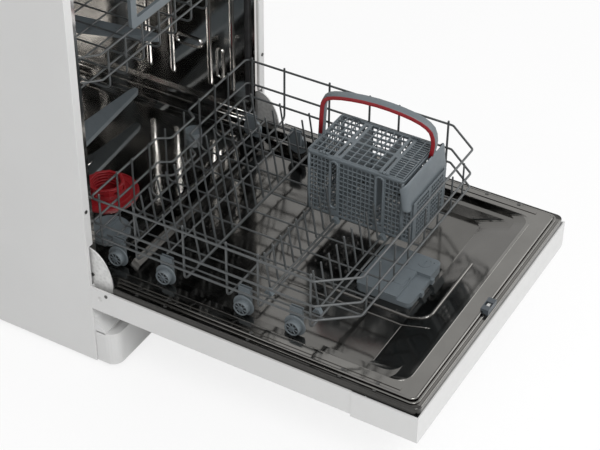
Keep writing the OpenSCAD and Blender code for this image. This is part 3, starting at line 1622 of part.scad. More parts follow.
module arm_body(reach, z)
  difference() {
    union() {
      translate([0, 0, z[0]])
        linear_extrude(z[1] - z[0])
          arm_outline(reach);
      translate([0, 0, z[0]])
        cylinder(h = z[1] - z[0], r = arm_hub_r);
    }
    for (side = [0, 180])
      rotate([0, 0, side])
        for (i = [0:nozzle_n - 1])
          post([nozzle_first + i * nozzle_step, 0, z[1] - over], nozzle_r, 2 * over);
  }

module lower_spray_arm()
  color(blue_grey) placed()
    translate([arm_at.x, arm_at.y, 0])
      difference() {
        rotate([0, 0, arm_turn])
          arm_body(arm_reach, arm_z);
        translate([0, 0, arm_z[0] - over])
          cylinder(h = arm_z[1] - arm_z[0], r = arm_pin_r / 2 + shaft_gap);
      }

module spray_feed()
  color(blue_grey) placed() {
    translate([arm_at.x, arm_at.y, tub_floor_z - tub_t - sump_h / 2])
      cylinder(h = sump_h / 2 + tub_t + arm_z[0] - tub_floor_z - run_gap, r = arm_pin_r);
    translate([arm_at.x, arm_at.y, tub_floor_z + 2 * over])
      cylinder(h = arm_z[1] - tub_floor_z - 4 * over, r = arm_pin_r / 2);
    // pipe up the back wall to the upper arm's coupling
    block([-feed_w / 2, tub_d - feed_t, tub_floor_z + snug], [feed_w / 2, tub_d - emboss_t - snug, feed_pipe_z]);
  }

module upper_spray_arm()
  color(blue_grey) placed()
    translate([upper_arm_at.x, upper_arm_at.y, 0])
      difference() {
        rotate([0, 0, upper_arm_turn])
          arm_body(upper_arm_reach, upper_arm_z);
        translate([0, 0, upper_arm_z[0] - over])
          cylinder(h = upper_arm_z[1] - upper_arm_z[0] + 2 * over, r = arm_pin_r / 2 + shaft_gap);
      }

base_tray();
plinth();
side_panel_left();
side_panel_right();
back_panel();
worktop();
feet();
tub_walls();
tub_back();
tub_floor();
tub_seal();
sump();
wash_pump();
drain_pump();
water_inlet();
counterweight();
door_panel();
console();
door_liner();
door_hinges();
hinge_pins();
dispenser();
door_lock();
screws();
filter_plate();
spray_feed();
guide_rails();
dispenser_lid();
rinse_cap();
lock_latch();
button(power_x);  // power_button
button(start_x);  // start_button
level_float();
salt_cap();
filter_cup();
lower_spray_arm();
rack_rails();
rack_wires();
rack_bends();
rack_tines();
rack_clips();
tine_row_front();
tine_row_rear();
cutlery_basket();
basket_shield();
basket_handle();
basket_lid_left();
basket_lid_right();
upper_rack();
rack_grip();
upper_feed();
upper_spray_arm();
for (side = ["left", "right"])
  for (i = [1:4])
    wheel(side, i);
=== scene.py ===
import math

import bmesh
import bpy
from bpy.props import FloatProperty, FloatVectorProperty, PointerProperty
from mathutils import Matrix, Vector


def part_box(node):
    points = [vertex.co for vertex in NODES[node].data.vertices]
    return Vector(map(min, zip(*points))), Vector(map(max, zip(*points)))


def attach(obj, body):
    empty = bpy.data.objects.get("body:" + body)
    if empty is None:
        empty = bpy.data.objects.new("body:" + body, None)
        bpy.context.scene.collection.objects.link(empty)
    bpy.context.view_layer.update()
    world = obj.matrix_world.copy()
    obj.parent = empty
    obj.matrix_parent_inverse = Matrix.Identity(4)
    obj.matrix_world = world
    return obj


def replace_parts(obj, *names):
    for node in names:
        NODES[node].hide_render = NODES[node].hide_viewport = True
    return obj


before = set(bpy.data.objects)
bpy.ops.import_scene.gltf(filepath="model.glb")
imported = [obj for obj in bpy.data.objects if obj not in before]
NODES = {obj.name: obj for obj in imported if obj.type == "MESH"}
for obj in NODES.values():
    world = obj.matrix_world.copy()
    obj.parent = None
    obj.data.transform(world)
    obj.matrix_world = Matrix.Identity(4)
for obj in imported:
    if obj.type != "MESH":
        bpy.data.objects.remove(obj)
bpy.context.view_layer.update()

bl_info = {
    "name": "Dishwasher Dressing",
    "version": (1, 0, 0),
    "blender": (4, 5, 0),
    "location": "View3D > Sidebar > Dishwasher",
    "description": "Finishes, small parts, stage and camera of an open dishwasher",
    "category": "Object",
}

FRONT_Y = 0.051  # the cabinet's front plane in the shared frame

UP, NORTH, EAST = Vector((0, 0, 1)), Vector((0, 1, 0)), Vector((1, 0, 0))

# Places in millimetres, as the solids have them
RIM_Z = 204.5
RIM_INSET = 12.5
LEDGE_Z = 198
LINER = (295.2, -646.1)  # half width and front edge
LINER_REAR = -50.6
LINER_CORNER = 12
RECESS = (255.5, -602.1, 26)  # half width, front edge and corner
WALL_X = 268.6
WALL_BEADS = (55, 108, 197, 254)
WALL_BEAD_Z = (253, 471)
WALL_OBLONGS = ((155, 340, 0.0285, 0.0095), (83, 310, 0.007, 0.0325))
BACK_Y = 527.6
BACK_BEADS = (-166.8, -75.3, 75.3, 166.8)
BACK_BEAD_Z = (250, 765)
FOOT_EDGES = ((261.9, 220), (256.4, 203.6))
FILTER = (-59, 134)
FOLD_FLOOR_Z = 178.3
FOLD_CREASE_Y = -518
FOLD_TURN = (-556, 18)  # place and radius of the bend
CREASES = ((-235, -104), (96, 238))
PLINTH = (296, 22.4, -2.6, 80)  # half width, corner, rear face and foot
SCOOP = (125, 41.4, 2.5)  # height, radius and thickness
BASKET_X = (26, 151)
BASKET_Y = (-445, -255)
BASKET_Z = (245.9, 375.9)
BASKET_FRONT_Y = -466
BASKET_WALL = 1.8
SLOT_Y = (-399.4, -308.2)
SLOT_Z = 316.9
SLOT_HALF = 5.6
DIVIDER_Y = (-376.6, -315.8)
FRONT_WALL_H = 88
LID_Z = 372.2
LID_T = 3.9
LID_HALF = 60.3
LID_PINS = (38.3, 158)  # from the basket's front wall
SHIELD = (88.5, 79, 11)  # middle, half length and curl of the ends
SHIELD_PROFILE = ((-454.9, 378.4), (-456.2, 377.8), (-457.4, 376), (-458.3, 371), (-459.4, 362),
                  (-460.9, 349), (-462.7, 335), (-464.2, 325), (-464.6, 322.4), (-463.8, 320.6))
HANDLE_FEET = ((84, -250.6), (122, -450.2))  # x and y of the rear and the front foot
HANDLE_ARCH = (  # share of the way between the feet, and height
    (0.0, 262), (0.0, 330), (0.0, 378), (0.006, 410), (0.012, 433), (0.018, 442), (0.033, 450), (0.062, 455.2),
    (0.11, 458.2), (0.18, 460.6), (0.27, 461.9), (0.38, 462), (0.5, 460.4), (0.61, 457.2), (0.72, 452.6),
    (0.82, 447), (0.9, 440.6), (0.955, 433.6), (0.992, 426), (1.012, 415), (1.02, 402), (1.014, 388), (1.0, 372),
    (1.0, 330), (1.0, 254))


def place(x, y, z):
    """A point in millimetres from the cabinet's front plane, as a vector in metres."""
    return Vector((x / 1000, y / 1000 + FRONT_Y, z / 1000))


# Materials


class Finish:
    """A material whose nodes are added one after another."""

    def __init__(self, name, colour, metallic=0.0, roughness=0.5, coat=0.0, coat_roughness=0.1, specular=0.5):
        self.material = bpy.data.materials.new(name)
        self.material.use_nodes = True
        tree = self.material.node_tree
        self.nodes = tree.nodes
        self.links = tree.links
        self.shader = self.nodes["Principled BSDF"]
        self.shader.inputs["Base Color"].default_value = (*colour, 1)
        self.shader.inputs["Metallic"].default_value = metallic
        self.shader.inputs["Roughness"].default_value = roughness
        self.shader.inputs["Coat Weight"].default_value = coat
        self.shader.inputs["Coat Roughness"].default_value = coat_roughness
        self.shader.inputs["Specular IOR Level"].default_value = specular
        self.colour = colour
        self.where = self.nodes.new("ShaderNodeTexCoord").outputs["Object"]
        self.normal = None

    def stretched(self, scale):
        """Object coordinates scaled by three factors."""
        node = self.nodes.new("ShaderNodeVectorMath")
        node.operation = "MULTIPLY"
        self.links.new(self.where, node.inputs[0])
        node.inputs[1].default_value = scale
        return node.outputs[0]

    def noise(self, scale, detail=3.0, roughness=0.5, stretch=None, distortion=0.0):
        """Clouds of a scale in object coordinates."""
        node = self.nodes.new("ShaderNodeTexNoise")
        node.inputs["Scale"].default_value = scale
        node.inputs["Detail"].default_value = detail
        node.inputs["Roughness"].default_value = roughness
        node.inputs["Distortion"].default_value = distortion
        self.links.new(self.stretched(stretch) if stretch else self.where, node.inputs["Vector"])
        return node.outputs["Fac"]

    def ramp(self, value, low, high, from_low=0.3, from_high=0.7):
        """The value mapped to a range."""
        node = self.nodes.new("ShaderNodeMapRange")
        node.inputs["From Min"].default_value = from_low
        node.inputs["From Max"].default_value = from_high
        node.inputs["To Min"].default_value = low
        node.inputs["To Max"].default_value = high
        self.links.new(value, node.inputs["Value"])
        return node.outputs["Result"]

    def tone(self, value, darker, lighter, from_low=0.3, from_high=0.7):
        """Colour that varies between two factors of the finish's own colour."""
        node = self.nodes.new("ShaderNodeValToRGB")
        for stop, at, factor in ((0, from_low, darker), (1, from_high, lighter)):
            node.color_ramp.elements[stop].position = at
            node.color_ramp.elements[stop].color = (*[min(1.0, c * factor) for c in self.colour], 1)
        self.links.new(value, node.inputs["Fac"])
        self.links.new(node.outputs["Color"], self.shader.inputs["Base Color"])

    def math(self, operation, a, b=0.0):
        """One sum on two numbers or sockets."""
        node = self.nodes.new("ShaderNodeMath")
        node.operation = operation
        for socket, value in zip(node.inputs, (a, b)):
            if isinstance(value, (int, float)):
                socket.default_value = value
            else:
                self.links.new(value, socket)
        return node.outputs[0]

    def shade_zones(self):
        """Painted shade on the steel: the ledge below the rim much darker along the sides and a little darker ahead,
        and the basin darker.
        """
        parts = self.nodes.new("ShaderNodeSeparateXYZ")
        self.links.new(self.where, parts.inputs[0])
        x, y, z = self.math("ABSOLUTE", parts.outputs[0]), parts.outputs[1], parts.outputs[2]
        side, front = place(LINER[0] - 12, LINER[1] + 12, 0).xy
        beside = self.math("GREATER_THAN", x, side)
        ahead = self.math("MULTIPLY", self.math("LESS_THAN", y, front), 0.2)
        outside = self.math("CEIL", self.math("MAXIMUM", beside, ahead))
        ledge = self.math("MULTIPLY", self.math("MAXIMUM", beside, ahead),
                          self.math("LESS_THAN", z, (LEDGE_Z + 1.5) / 1000))
        basin = self.math("SUBTRACT", self.math("LESS_THAN", z, (RIM_Z - 1.5) / 1000), outside)
        basin = self.math("MAXIMUM", basin, 0.0)
        # Painted shade: the side ledges keep 0.32 of the colour, the ledge ahead 0.86 and the basin 0.7.
        factor = self.math("SUBTRACT", 1.0, self.math("ADD", self.math("MULTIPLY", ledge, 0.68),
                                                      self.math("MULTIPLY", basin, 0.3)))
        scaled = self.nodes.new("ShaderNodeVectorMath")
        scaled.operation = "SCALE"
        colour = self.shader.inputs["Base Color"].links[0].from_socket
        self.links.new(colour, scaled.inputs[0])
        self.links.new(factor, scaled.inputs["Scale"])
        self.links.new(scaled.outputs[0], self.shader.inputs["Base Color"])

    def rough(self, value, low, high):
        """Roughness that varies between two values."""
        self.links.new(self.ramp(value, low, high), self.shader.inputs["Roughness"])

    def bump(self, value, strength, distance):
        """Adds a relief on top of those added before."""
        node = self.nodes.new("ShaderNodeBump")
        node.inputs["Strength"].default_value = strength
        node.inputs["Distance"].default_value = distance
        self.links.new(value, node.inputs["Height"])
        if self.normal:
            self.links.new(self.normal, node.inputs["Normal"])
        self.normal = node.outputs["Normal"]
        self.links.new(self.normal, self.shader.inputs["Normal"])


def enamel(name, colour, roughness=0.32):
    """Sprayed enamel: a faint orange peel and slow waves of the sheet below."""
    f = Finish(name, colour, roughness=roughness, coat=0.25, coat_roughness=0.12)
    f.tone(f.noise(6, 4), 0.985, 1.015)
    f.rough(f.noise(35, 4), roughness - 0.04, roughness + 0.06)
    f.bump(f.noise(950, 2), 0.05, 0.0002)
    f.bump(f.noise(5, 1), 0.06, 0.002)
    return f.material


def moulded(name, colour, roughness=0.45, grain=1600, relief=0.12, specular=0.5, mottle=0.06):
    """Moulded plastic: fine spark-eroded texture, faint flow marks and slight mottling."""
    f = Finish(name, colour, roughness=roughness, specular=specular)
    f.tone(f.noise(28, 5, 0.6, distortion=0.4), 1 - mottle, 1 + mottle)
    f.rough(f.noise(60, 4), roughness - 0.06, roughness + 0.08)
    f.bump(f.noise(grain, 2), relief, 0.0002)
    f.bump(f.noise(14, 2, stretch=(1, 1, 0.3)), 0.05, 0.001)
    return f.material


def pressed_steel(name, colour, roughness, along=(1, 40, 40), wave=0.12, wear=0.03, zones=False):
    """Bright rolled stainless sheet: rolling lines, the press's slow waves, and hazy patches; with zones, painted
    shade on the liner's ledge and in its basin.
    """
    f = Finish(name, colour, metallic=1.0, roughness=roughness)
    f.shader.inputs["Anisotropic"].default_value = 0.35
    f.tone(f.noise(7, 5, 0.6), 0.9, 1.08)
    # Painted shade on the liner's ledge and basin, by place on the object.
    if zones:
        f.shade_zones()
    f.rough(f.noise(11, 6, 0.65, distortion=0.5), roughness - wear, roughness + 2 * wear)
    f.bump(f.noise(60, 3, 0.7, stretch=along), 0.035, 0.0002)
    f.bump(f.noise(9, 2), wave, 0.0022)
    return f.material


def plated(name, colour, roughness=0.38, metallic=1.0):
    """Zinc-plated steel: spangle with fine cloudy tone."""
    f = Finish(name, colour, metallic=metallic, roughness=roughness)
    cells = f.nodes.new("ShaderNodeTexVoronoi")
    cells.inputs["Scale"].default_value = 160
    f.links.new(f.where, cells.inputs["Vector"])
    f.tone(cells.outputs["Distance"], 0.86, 1.08, 0.1, 0.8)
    f.rough(f.noise(90, 4), roughness - 0.08, roughness + 0.1)
    f.bump(f.noise(700, 3), 0.08, 0.0001)
    return f.material


def dipped_wire(name, colour):
    """Wire dipped in a soft coating, with runs and slight thickening."""
    f = Finish(name, colour, roughness=0.36, specular=0.5, coat=0.15, coat_roughness=0.25)
    f.tone(f.noise(45, 4, 0.6), 0.86, 1.16)
    f.rough(f.noise(120, 4), 0.3, 0.46)
    f.bump(f.noise(130, 3), 0.16, 0.0004)
    f.bump(f.noise(1400, 2), 0.06, 0.0001)
    return f.material


def soft_rubber(name, colour):
    """Door seal rubber: matt, with a fine bloom."""
    f = Finish(name, colour, roughness=0.72, specular=0.35)
    f.tone(f.noise(40, 5), 0.75, 1.5)
    f.rough(f.noise(90, 3), 0.62, 0.82)
    f.bump(f.noise(900, 3), 0.15, 0.0002)
    return f.material


def cast(name, colour):
    """Raw casting: coarse sand texture and rust-free grey scale."""
    f = Finish(name, colour, metallic=0.2, roughness=0.8)
    f.tone(f.noise(60, 8, 0.7), 0.7, 1.25)
    f.rough(f.noise(50, 4), 0.68, 0.92)
    f.bump(f.noise(420, 6, 0.7), 0.5, 0.0006)
    return f.material


def laminate(name, colour):
    """Worktop laminate: fine pearl texture."""
    f = Finish(name, colour, roughness=0.42)
    f.tone(f.noise(220, 5, 0.7), 0.975, 1.02)
    f.rough(f.noise(80, 4), 0.36, 0.5)
    f.bump(f.noise(1100, 4, 0.6), 0.14, 0.0002)
    return f.material


# Mesh helpers


def new_piece(name, mesh, body, material, smooth=True):
    """Makes a mesh a piece that rides on a body, with its finish."""
    bmesh.ops.recalc_face_normals(mesh, faces=mesh.faces)
    data = bpy.data.meshes.new(name)
    mesh.to_mesh(data)
    mesh.free()
    piece = bpy.data.objects.new(name, data)
    bpy.context.scene.collection.objects.link(piece)
    data.materials.append(material)
    if smooth:
        data.shade_smooth()
    else:
        data.shade_flat()
    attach(piece, body)
    return piece


def arc(x, y, radius, start, turn, steps):
    """Points of an arc round a middle, from a start angle through a turn, in degrees."""
    angles = [math.radians(start + turn * i / steps) for i in range(steps + 1)]
    return [(x + radius * math.cos(a), y + radius * math.sin(a)) for a in angles]


def circle(radius, sides, phase=0.0, height=None):
    """Points of a circle, or of an oval of another height."""
    angles = [2 * math.pi * (i + phase) / sides for i in range(sides)]
    return [(radius * math.cos(a), (height or radius) * math.sin(a)) for a in angles]


def dome(mesh, at, axis, radius, height, sides=12, rings=3):
    """Closed rounded cap on a wire's end, its flat side sunk a little into the wire."""
    axis = axis.normalized()
    turn = axis.to_track_quat("Z", "Y").to_matrix()
    rows = []
    for level, lift in [(1, -0.2 * height)] + [(r, height * i) for r, i in arc(0, 0, 1, 0, 90, rings)[:-1]]:
        rows.append([mesh.verts.new(at + axis * lift + turn @ Vector((x, y, 0)))
                     for x, y in circle(radius * level, sides)])
    top = mesh.verts.new(at + axis * height)
    mesh.faces.new(rows[0][::-1])
    for i in range(sides):
        j = (i + 1) % sides
        for a, b in zip(rows, rows[1:]):
            mesh.faces.new((a[i], a[j], b[j], b[i]))
        mesh.faces.new((rows[-1][i], rows[-1][j], top))


def sweep(mesh, path, section, closed=False, up=UP, taper=None):
    """Draws a section, given as points across and up, along a path, scaled by the taper at each point."""
    rings = []
    count = len(path)
    for i, p in enumerate(path):
        before = path[i - 1] if i or closed else p
        after = path[(i + 1) % count] if i < count - 1 or closed else p
        ahead = (after - before).normalized()
        side = ahead.cross(up).normalized()
        top = side.cross(ahead)
        grow = taper[i] if taper else 1
        rings.append([mesh.verts.new(p + (side * s + top * t) * grow) for s, t in section])
    n = len(section)
    for i in range(count if closed else count - 1):
        a, b = rings[i], rings[(i + 1) % count]
        for k in range(n):
            m = (k + 1) % n
            mesh.faces.new((a[k], a[m], b[m], b[k]))
    if not closed:
        mesh.faces.new(rings[0][::-1])
        mesh.faces.new(rings[-1])


def round_section(radius, height=None, sides=12):
    """Outline of a round or oval bar, across and up."""
    return circle(radius, sides, height=height)


def rounded_section(width, height, radius, steps=3):
    """Outline of a rounded bar, across and up."""
    points = []
    for cx, cy, start in ((1, 1, 0), (-1, 1, 90), (-1, -1, 180), (1, -1, 270)):
        points += arc(cx * (width / 2 - radius), cy * (height / 2 - radius), radius, start, 90, steps)
    return points


def trough_path(half, front, z, radius, steps=10):
    """Open path from the liner's rear down one side, round the front and up the other side."""
    points = [(-half, LINER_REAR)]
    for side, start in ((-1, 180), (1, 270)):
        points += arc(side * (half - radius), front + radius, radius, start, 90, steps)
    return [place(x, y, z) for x, y in points + [(half, LINER_REAR)]]


def ring_path(x, y, z, radius, steps=6):
    """Closed path round a rectangle with rounded corners."""
    points = []
    for i, j, start in ((1, 1, 0), (0, 1, 90), (0, 0, 180), (1, 0, 270)):
        points += arc(x[i] + (-radius if i else radius), y[j] + (-radius if j else radius), radius, start, 90, steps)
    return [place(*at, z) for at in points]


def oblong_path(middle, across, up, half_width, half_height, steps=8):
    """Closed path with two round ends in the plane of two directions; sizes in metres."""
    radius = min(half_width, half_height)
    return [middle + across * (c + math.copysign(half_width - radius, c))
            + up * (s + math.copysign(half_height - radius, s)) for c, s in circle(radius, 4 * steps, 0.5)]


def lattice(mesh, corner, across, up, thick, columns, rows, hole):
    """Closed plate between cuts in millimetres from a corner, open wherever the test of column and row says so."""
    out = across.cross(up) * thick / 1000
    solid = {(i, j) for i in range(len(columns) - 1) for j in range(len(rows) - 1) if not hole(i, j)}
    points = {}

    def point(i, j, back):
        if (i, j, back) not in points:
            at = corner + across * columns[i] / 1000 + up * rows[j] / 1000
            points[i, j, back] = mesh.verts.new(at - out if back else at)
        return points[i, j, back]

    for i, j in solid:
        ring = ((i, j), (i + 1, j), (i + 1, j + 1), (i, j + 1))
        mesh.faces.new([point(*at, False) for at in ring])
        mesh.faces.new([point(*at, True) for at in ring[::-1]])
        for k, beside in enumerate(((i, j - 1), (i + 1, j), (i, j + 1), (i - 1, j))):
            if beside not in solid:
                a, b = ring[k], ring[(k + 1) % 4]
                mesh.faces.new((point(*b, False), point(*a, False), point(*a, True), point(*b, True)))


def windows(start, end, pitch, bar):
    """Cuts of a row of windows between two places, and the places where windows start."""
    count = max(1, round((end - start + bar) / pitch))
    step = (end - start + bar) / count
    cuts = []
    for i in range(count):
        cuts += [start + i * step, start + (i + 1) * step - bar]
    return cuts


def grid(length, spans, pitch, bar):
    """All cuts of a wall of a length with windows in the given spans, and the indexes of the open columns."""
    cuts, opened = [0.0], set()
    for start, end in spans:
        for i, cut in enumerate(windows(start, end, pitch, bar)):
            if i % 2 == 0:
                opened.add(len(cuts))
            cuts.append(cut)
    return cuts + [length], opened


def pillow(mesh, foot, height, section, up):
    """Upright bead whose ends run out into the sheet."""
    rises = (0, 1, 4, 8, height - 8, height - 4, height - 1, height)
    taper = (0.15, 0.6, 0.88, 1, 1, 0.88, 0.6, 0.15)
    sweep(mesh, [foot + UP * rise / 1000 for rise in rises], section, up=up, taper=taper)


def flat_ends(name):
    """Middle, outward direction and radius of each rod's end in a node."""
    data = NODES[name].data
    owner = list(range(len(data.vertices)))

    def find(i):
        while owner[i] != i:
            owner[i] = owner[owner[i]]
            i = owner[i]
        return i

    for face in data.polygons:
        first = find(face.vertices[0])
        for v in face.vertices[1:]:
            owner[find(v)] = first
    groups = {}
    for face in data.polygons:
        groups.setdefault(find(face.vertices[0]), []).append(face)
    ends = []
    for faces in groups.values():
        normal = faces[0].normal
        if any(face.normal.dot(normal) < 0.9999 for face in faces):
            continue
        points = [data.vertices[v].co for v in {v for face in faces for v in face.vertices}]
        middle = sum(points, Vector()) / len(points)
        reach = [(p - middle).length for p in points]
        if len(points) >= 10 and max(reach) < 0.0022 and min(reach) > 0.9 * max(reach):
            ends.append((middle, normal.copy(), max(reach)))
    return ends


def free_ends(names):
    """The rods' ends that no other rod meets."""
    ends = [end for name in names for end in flat_ends(name)]
    return [(at, axis, radius) for at, axis, radius in ends
            if not any(0 < (other - at).length < 0.0004 or (other - at).length == 0 and turn.dot(axis) < 0
                       for other, turn, _ in ends)]


def bevel(piece, width, segments, angle):
    """Rounds a piece's edges sharper than an angle."""
    edge = piece.modifiers.new("edge", "BEVEL")
    edge.width = width
    edge.segments = segments
    edge.limit_method = "ANGLE"
    edge.angle_limit = math.radians(angle)
    return edge


def soften(name, width):
    """Rounds a CAD node's sharp edges, as its sheet or mould does, by modifiers alone."""
    weld = NODES[name].modifiers.new("weld", "WELD")
    weld.merge_threshold = 0.00001
    edge = bevel(NODES[name], width, 2, 35)
    edge.harden_normals = True
    edge.use_clamp_overlap = True
    edge.miter_outer = "MITER_ARC"


def finish_nodes(material, *names):
    """Gives CAD nodes a material."""
    for name in names:
        data = NODES[name].data
        data.materials.clear()
        data.materials.append(material)
    return material


# Settings


class DishwasherColours(bpy.types.PropertyGroup):
    """Colours of the finishes"""

    enamel: FloatVectorProperty(name="Enamel", description="Painted side panels, door and plinth", subtype="COLOR",
                                size=3, min=0, max=1, default=(0.62, 0.62, 0.615))
    worktop: FloatVectorProperty(name="Worktop", description="Laminate of the worktop", subtype="COLOR",
                                 size=3, min=0, max=1, default=(0.62, 0.62, 0.61))
    # Painted shade: the liner is the tub's stainless steel in a much lower tone, standing in for the dim reflections
    # on its faces.
    steel: FloatVectorProperty(name="Stainless", description="Door liner", subtype="COLOR",
                               size=3, min=0, max=1, default=(0.20, 0.195, 0.185))
    tub: FloatVectorProperty(name="Tub", description="Stainless walls, back and floor of the tub", subtype="COLOR",
                             size=3, min=0, max=1, default=(0.66, 0.648, 0.63))
    plated: FloatVectorProperty(name="Plated", description="Hinges, pins, screws and back panel", subtype="COLOR",
                                size=3, min=0, max=1, default=(0.58, 0.58, 0.57))
    wire: FloatVectorProperty(name="Wire", description="Coating of the racks' wires", subtype="COLOR",
                              size=3, min=0, max=1, default=(0.055, 0.06, 0.062))
    plastic: FloatVectorProperty(name="Plastic", description="Basket, dispenser and spray arms", subtype="COLOR",
                                 size=3, min=0, max=1, default=(0.115, 0.135, 0.148))
    wheel: FloatVectorProperty(name="Wheels", description="Wheels of the lower rack", subtype="COLOR",
                               size=3, min=0, max=1, default=(0.16, 0.185, 0.2))
    red: FloatVectorProperty(name="Red", description="Filter cup and plate, and the handle's lining", subtype="COLOR",
                             size=3, min=0, max=1, default=(0.23, 0.008, 0.012))
    black: FloatVectorProperty(name="Black", description="Base, sump, seal and lock", subtype="COLOR",
                               size=3, min=0, max=1, default=(0.016, 0.016, 0.017))


class DishwasherSizes(bpy.types.PropertyGroup):
    """Sizes of the added forms"""

    sheet_edge: FloatProperty(name="Sheet edge", description="Rounding of folded sheet", unit="LENGTH",
                              min=0.0002, max=0.003, default=0.0012)
    mould_edge: FloatProperty(name="Moulded edge", description="Rounding of moulded pieces", unit="LENGTH",
                              min=0.0002, max=0.002, default=0.0006)
    press_edge: FloatProperty(name="Pressed edge", description="Rounding of the liner's pressed edges", unit="LENGTH",
                              min=0.0005, max=0.004, default=0.0022)
    tip: FloatProperty(name="Tip", description="Height of the domes on the wires' ends", unit="LENGTH",
                       min=0.0005, max=0.003, default=0.0016)


class DishwasherView(bpy.types.PropertyGroup):
    """Camera and light"""

    lens: FloatProperty(name="Lens", description="Focal length in millimetres", min=20, max=200, default=99.45)
    azimuth: FloatProperty(name="Azimuth", description="Direction of the view, in degrees", min=-180, max=180,
                           default=-59.45)
    elevation: FloatProperty(name="Elevation", description="Height of the view, in degrees", min=-90, max=90,
                             default=38.16)
    position: FloatVectorProperty(name="Position", description="Place of the camera", subtype="TRANSLATION", size=3,
                                  default=(-2.0467, -1.3804, 2.0768))
    sky: FloatProperty(name="Sky", description="Strength of the even light", min=0, max=2, default=0.55)
    key: FloatProperty(name="Key", description="Power of the main lamp in watts", min=0, max=500, default=77)


def colours():
    return bpy.context.scene.dishwasher_colours


def sizes():
    return bpy.context.scene.dishwasher_sizes


# Pieces


class DISHWASHER_OT_cabinet(bpy.types.Operator):
    """Finish the side panels, worktop, plinth, back and base"""

    bl_idname = "dishwasher.cabinet"
    bl_label = "Cabinet"

    def execute(self, context):
        c = colours()
        paint = finish_nodes(enamel("enamel", c.enamel), "side_panel_left", "side_panel_right", "door_panel",
                             "plinth")
        finish_nodes(moulded("white_plastic", c.enamel, 0.34, relief=0.05, mottle=0.01), "console",
                     "power_button", "start_button")
        finish_nodes(laminate("laminate", c.worktop), "worktop")
        finish_nodes(plated("plated", c.plated), "back_panel", "hinge_pins", "lock_latch")
        finish_nodes(plated("galvanised", (0.62, 0.62, 0.61), 0.5, metallic=0.3), "door_hinges")
        finish_nodes(plated("darkened_steel", (0.11, 0.11, 0.108), 0.42), "screws")
        finish_nodes(moulded("black_plastic", c.black, 0.55), "base_tray", "feet", "sump")
        finish_nodes(moulded("lock_plastic", (0.05, 0.06, 0.07), 0.4), "door_lock")
        finish_nodes(cast("casting", (0.2, 0.2, 0.2)), "counterweight")
        for name in ("side_panel_left", "side_panel_right", "door_panel", "plinth", "console", "worktop"):
            soften(name, sizes().sheet_edge)
        self.plinth_ends(paint)
        return {"FINISHED"}

    def plinth_ends(self, material):
        """Ends of the scooped sheet above the plinth's rounded corners."""
        half, corner, rear, low = PLINTH
        high, depth, thick = SCOOP
        outline = arc(rear - depth + thick, high, depth, 290, 70, 8)
        outline += [(rear + thick, high), (rear + thick, low - thick), (rear - depth / 2, low - thick)]
        mesh = bmesh.new()
        for side in (-1, 1):
            inner, outer = ([mesh.verts.new(place(side * x, *at)) for at in outline]
                            for x in (half - corner - 0.4, half))
            for k in range(len(outline)):
                m = (k + 1) % len(outline)
                mesh.faces.new((inner[k], inner[m], outer[m], outer[k]))
            mesh.faces.new(inner)
            mesh.faces.new(outer[::-1])
        new_piece("plinth_ends", mesh, "cabinet", material, smooth=False)


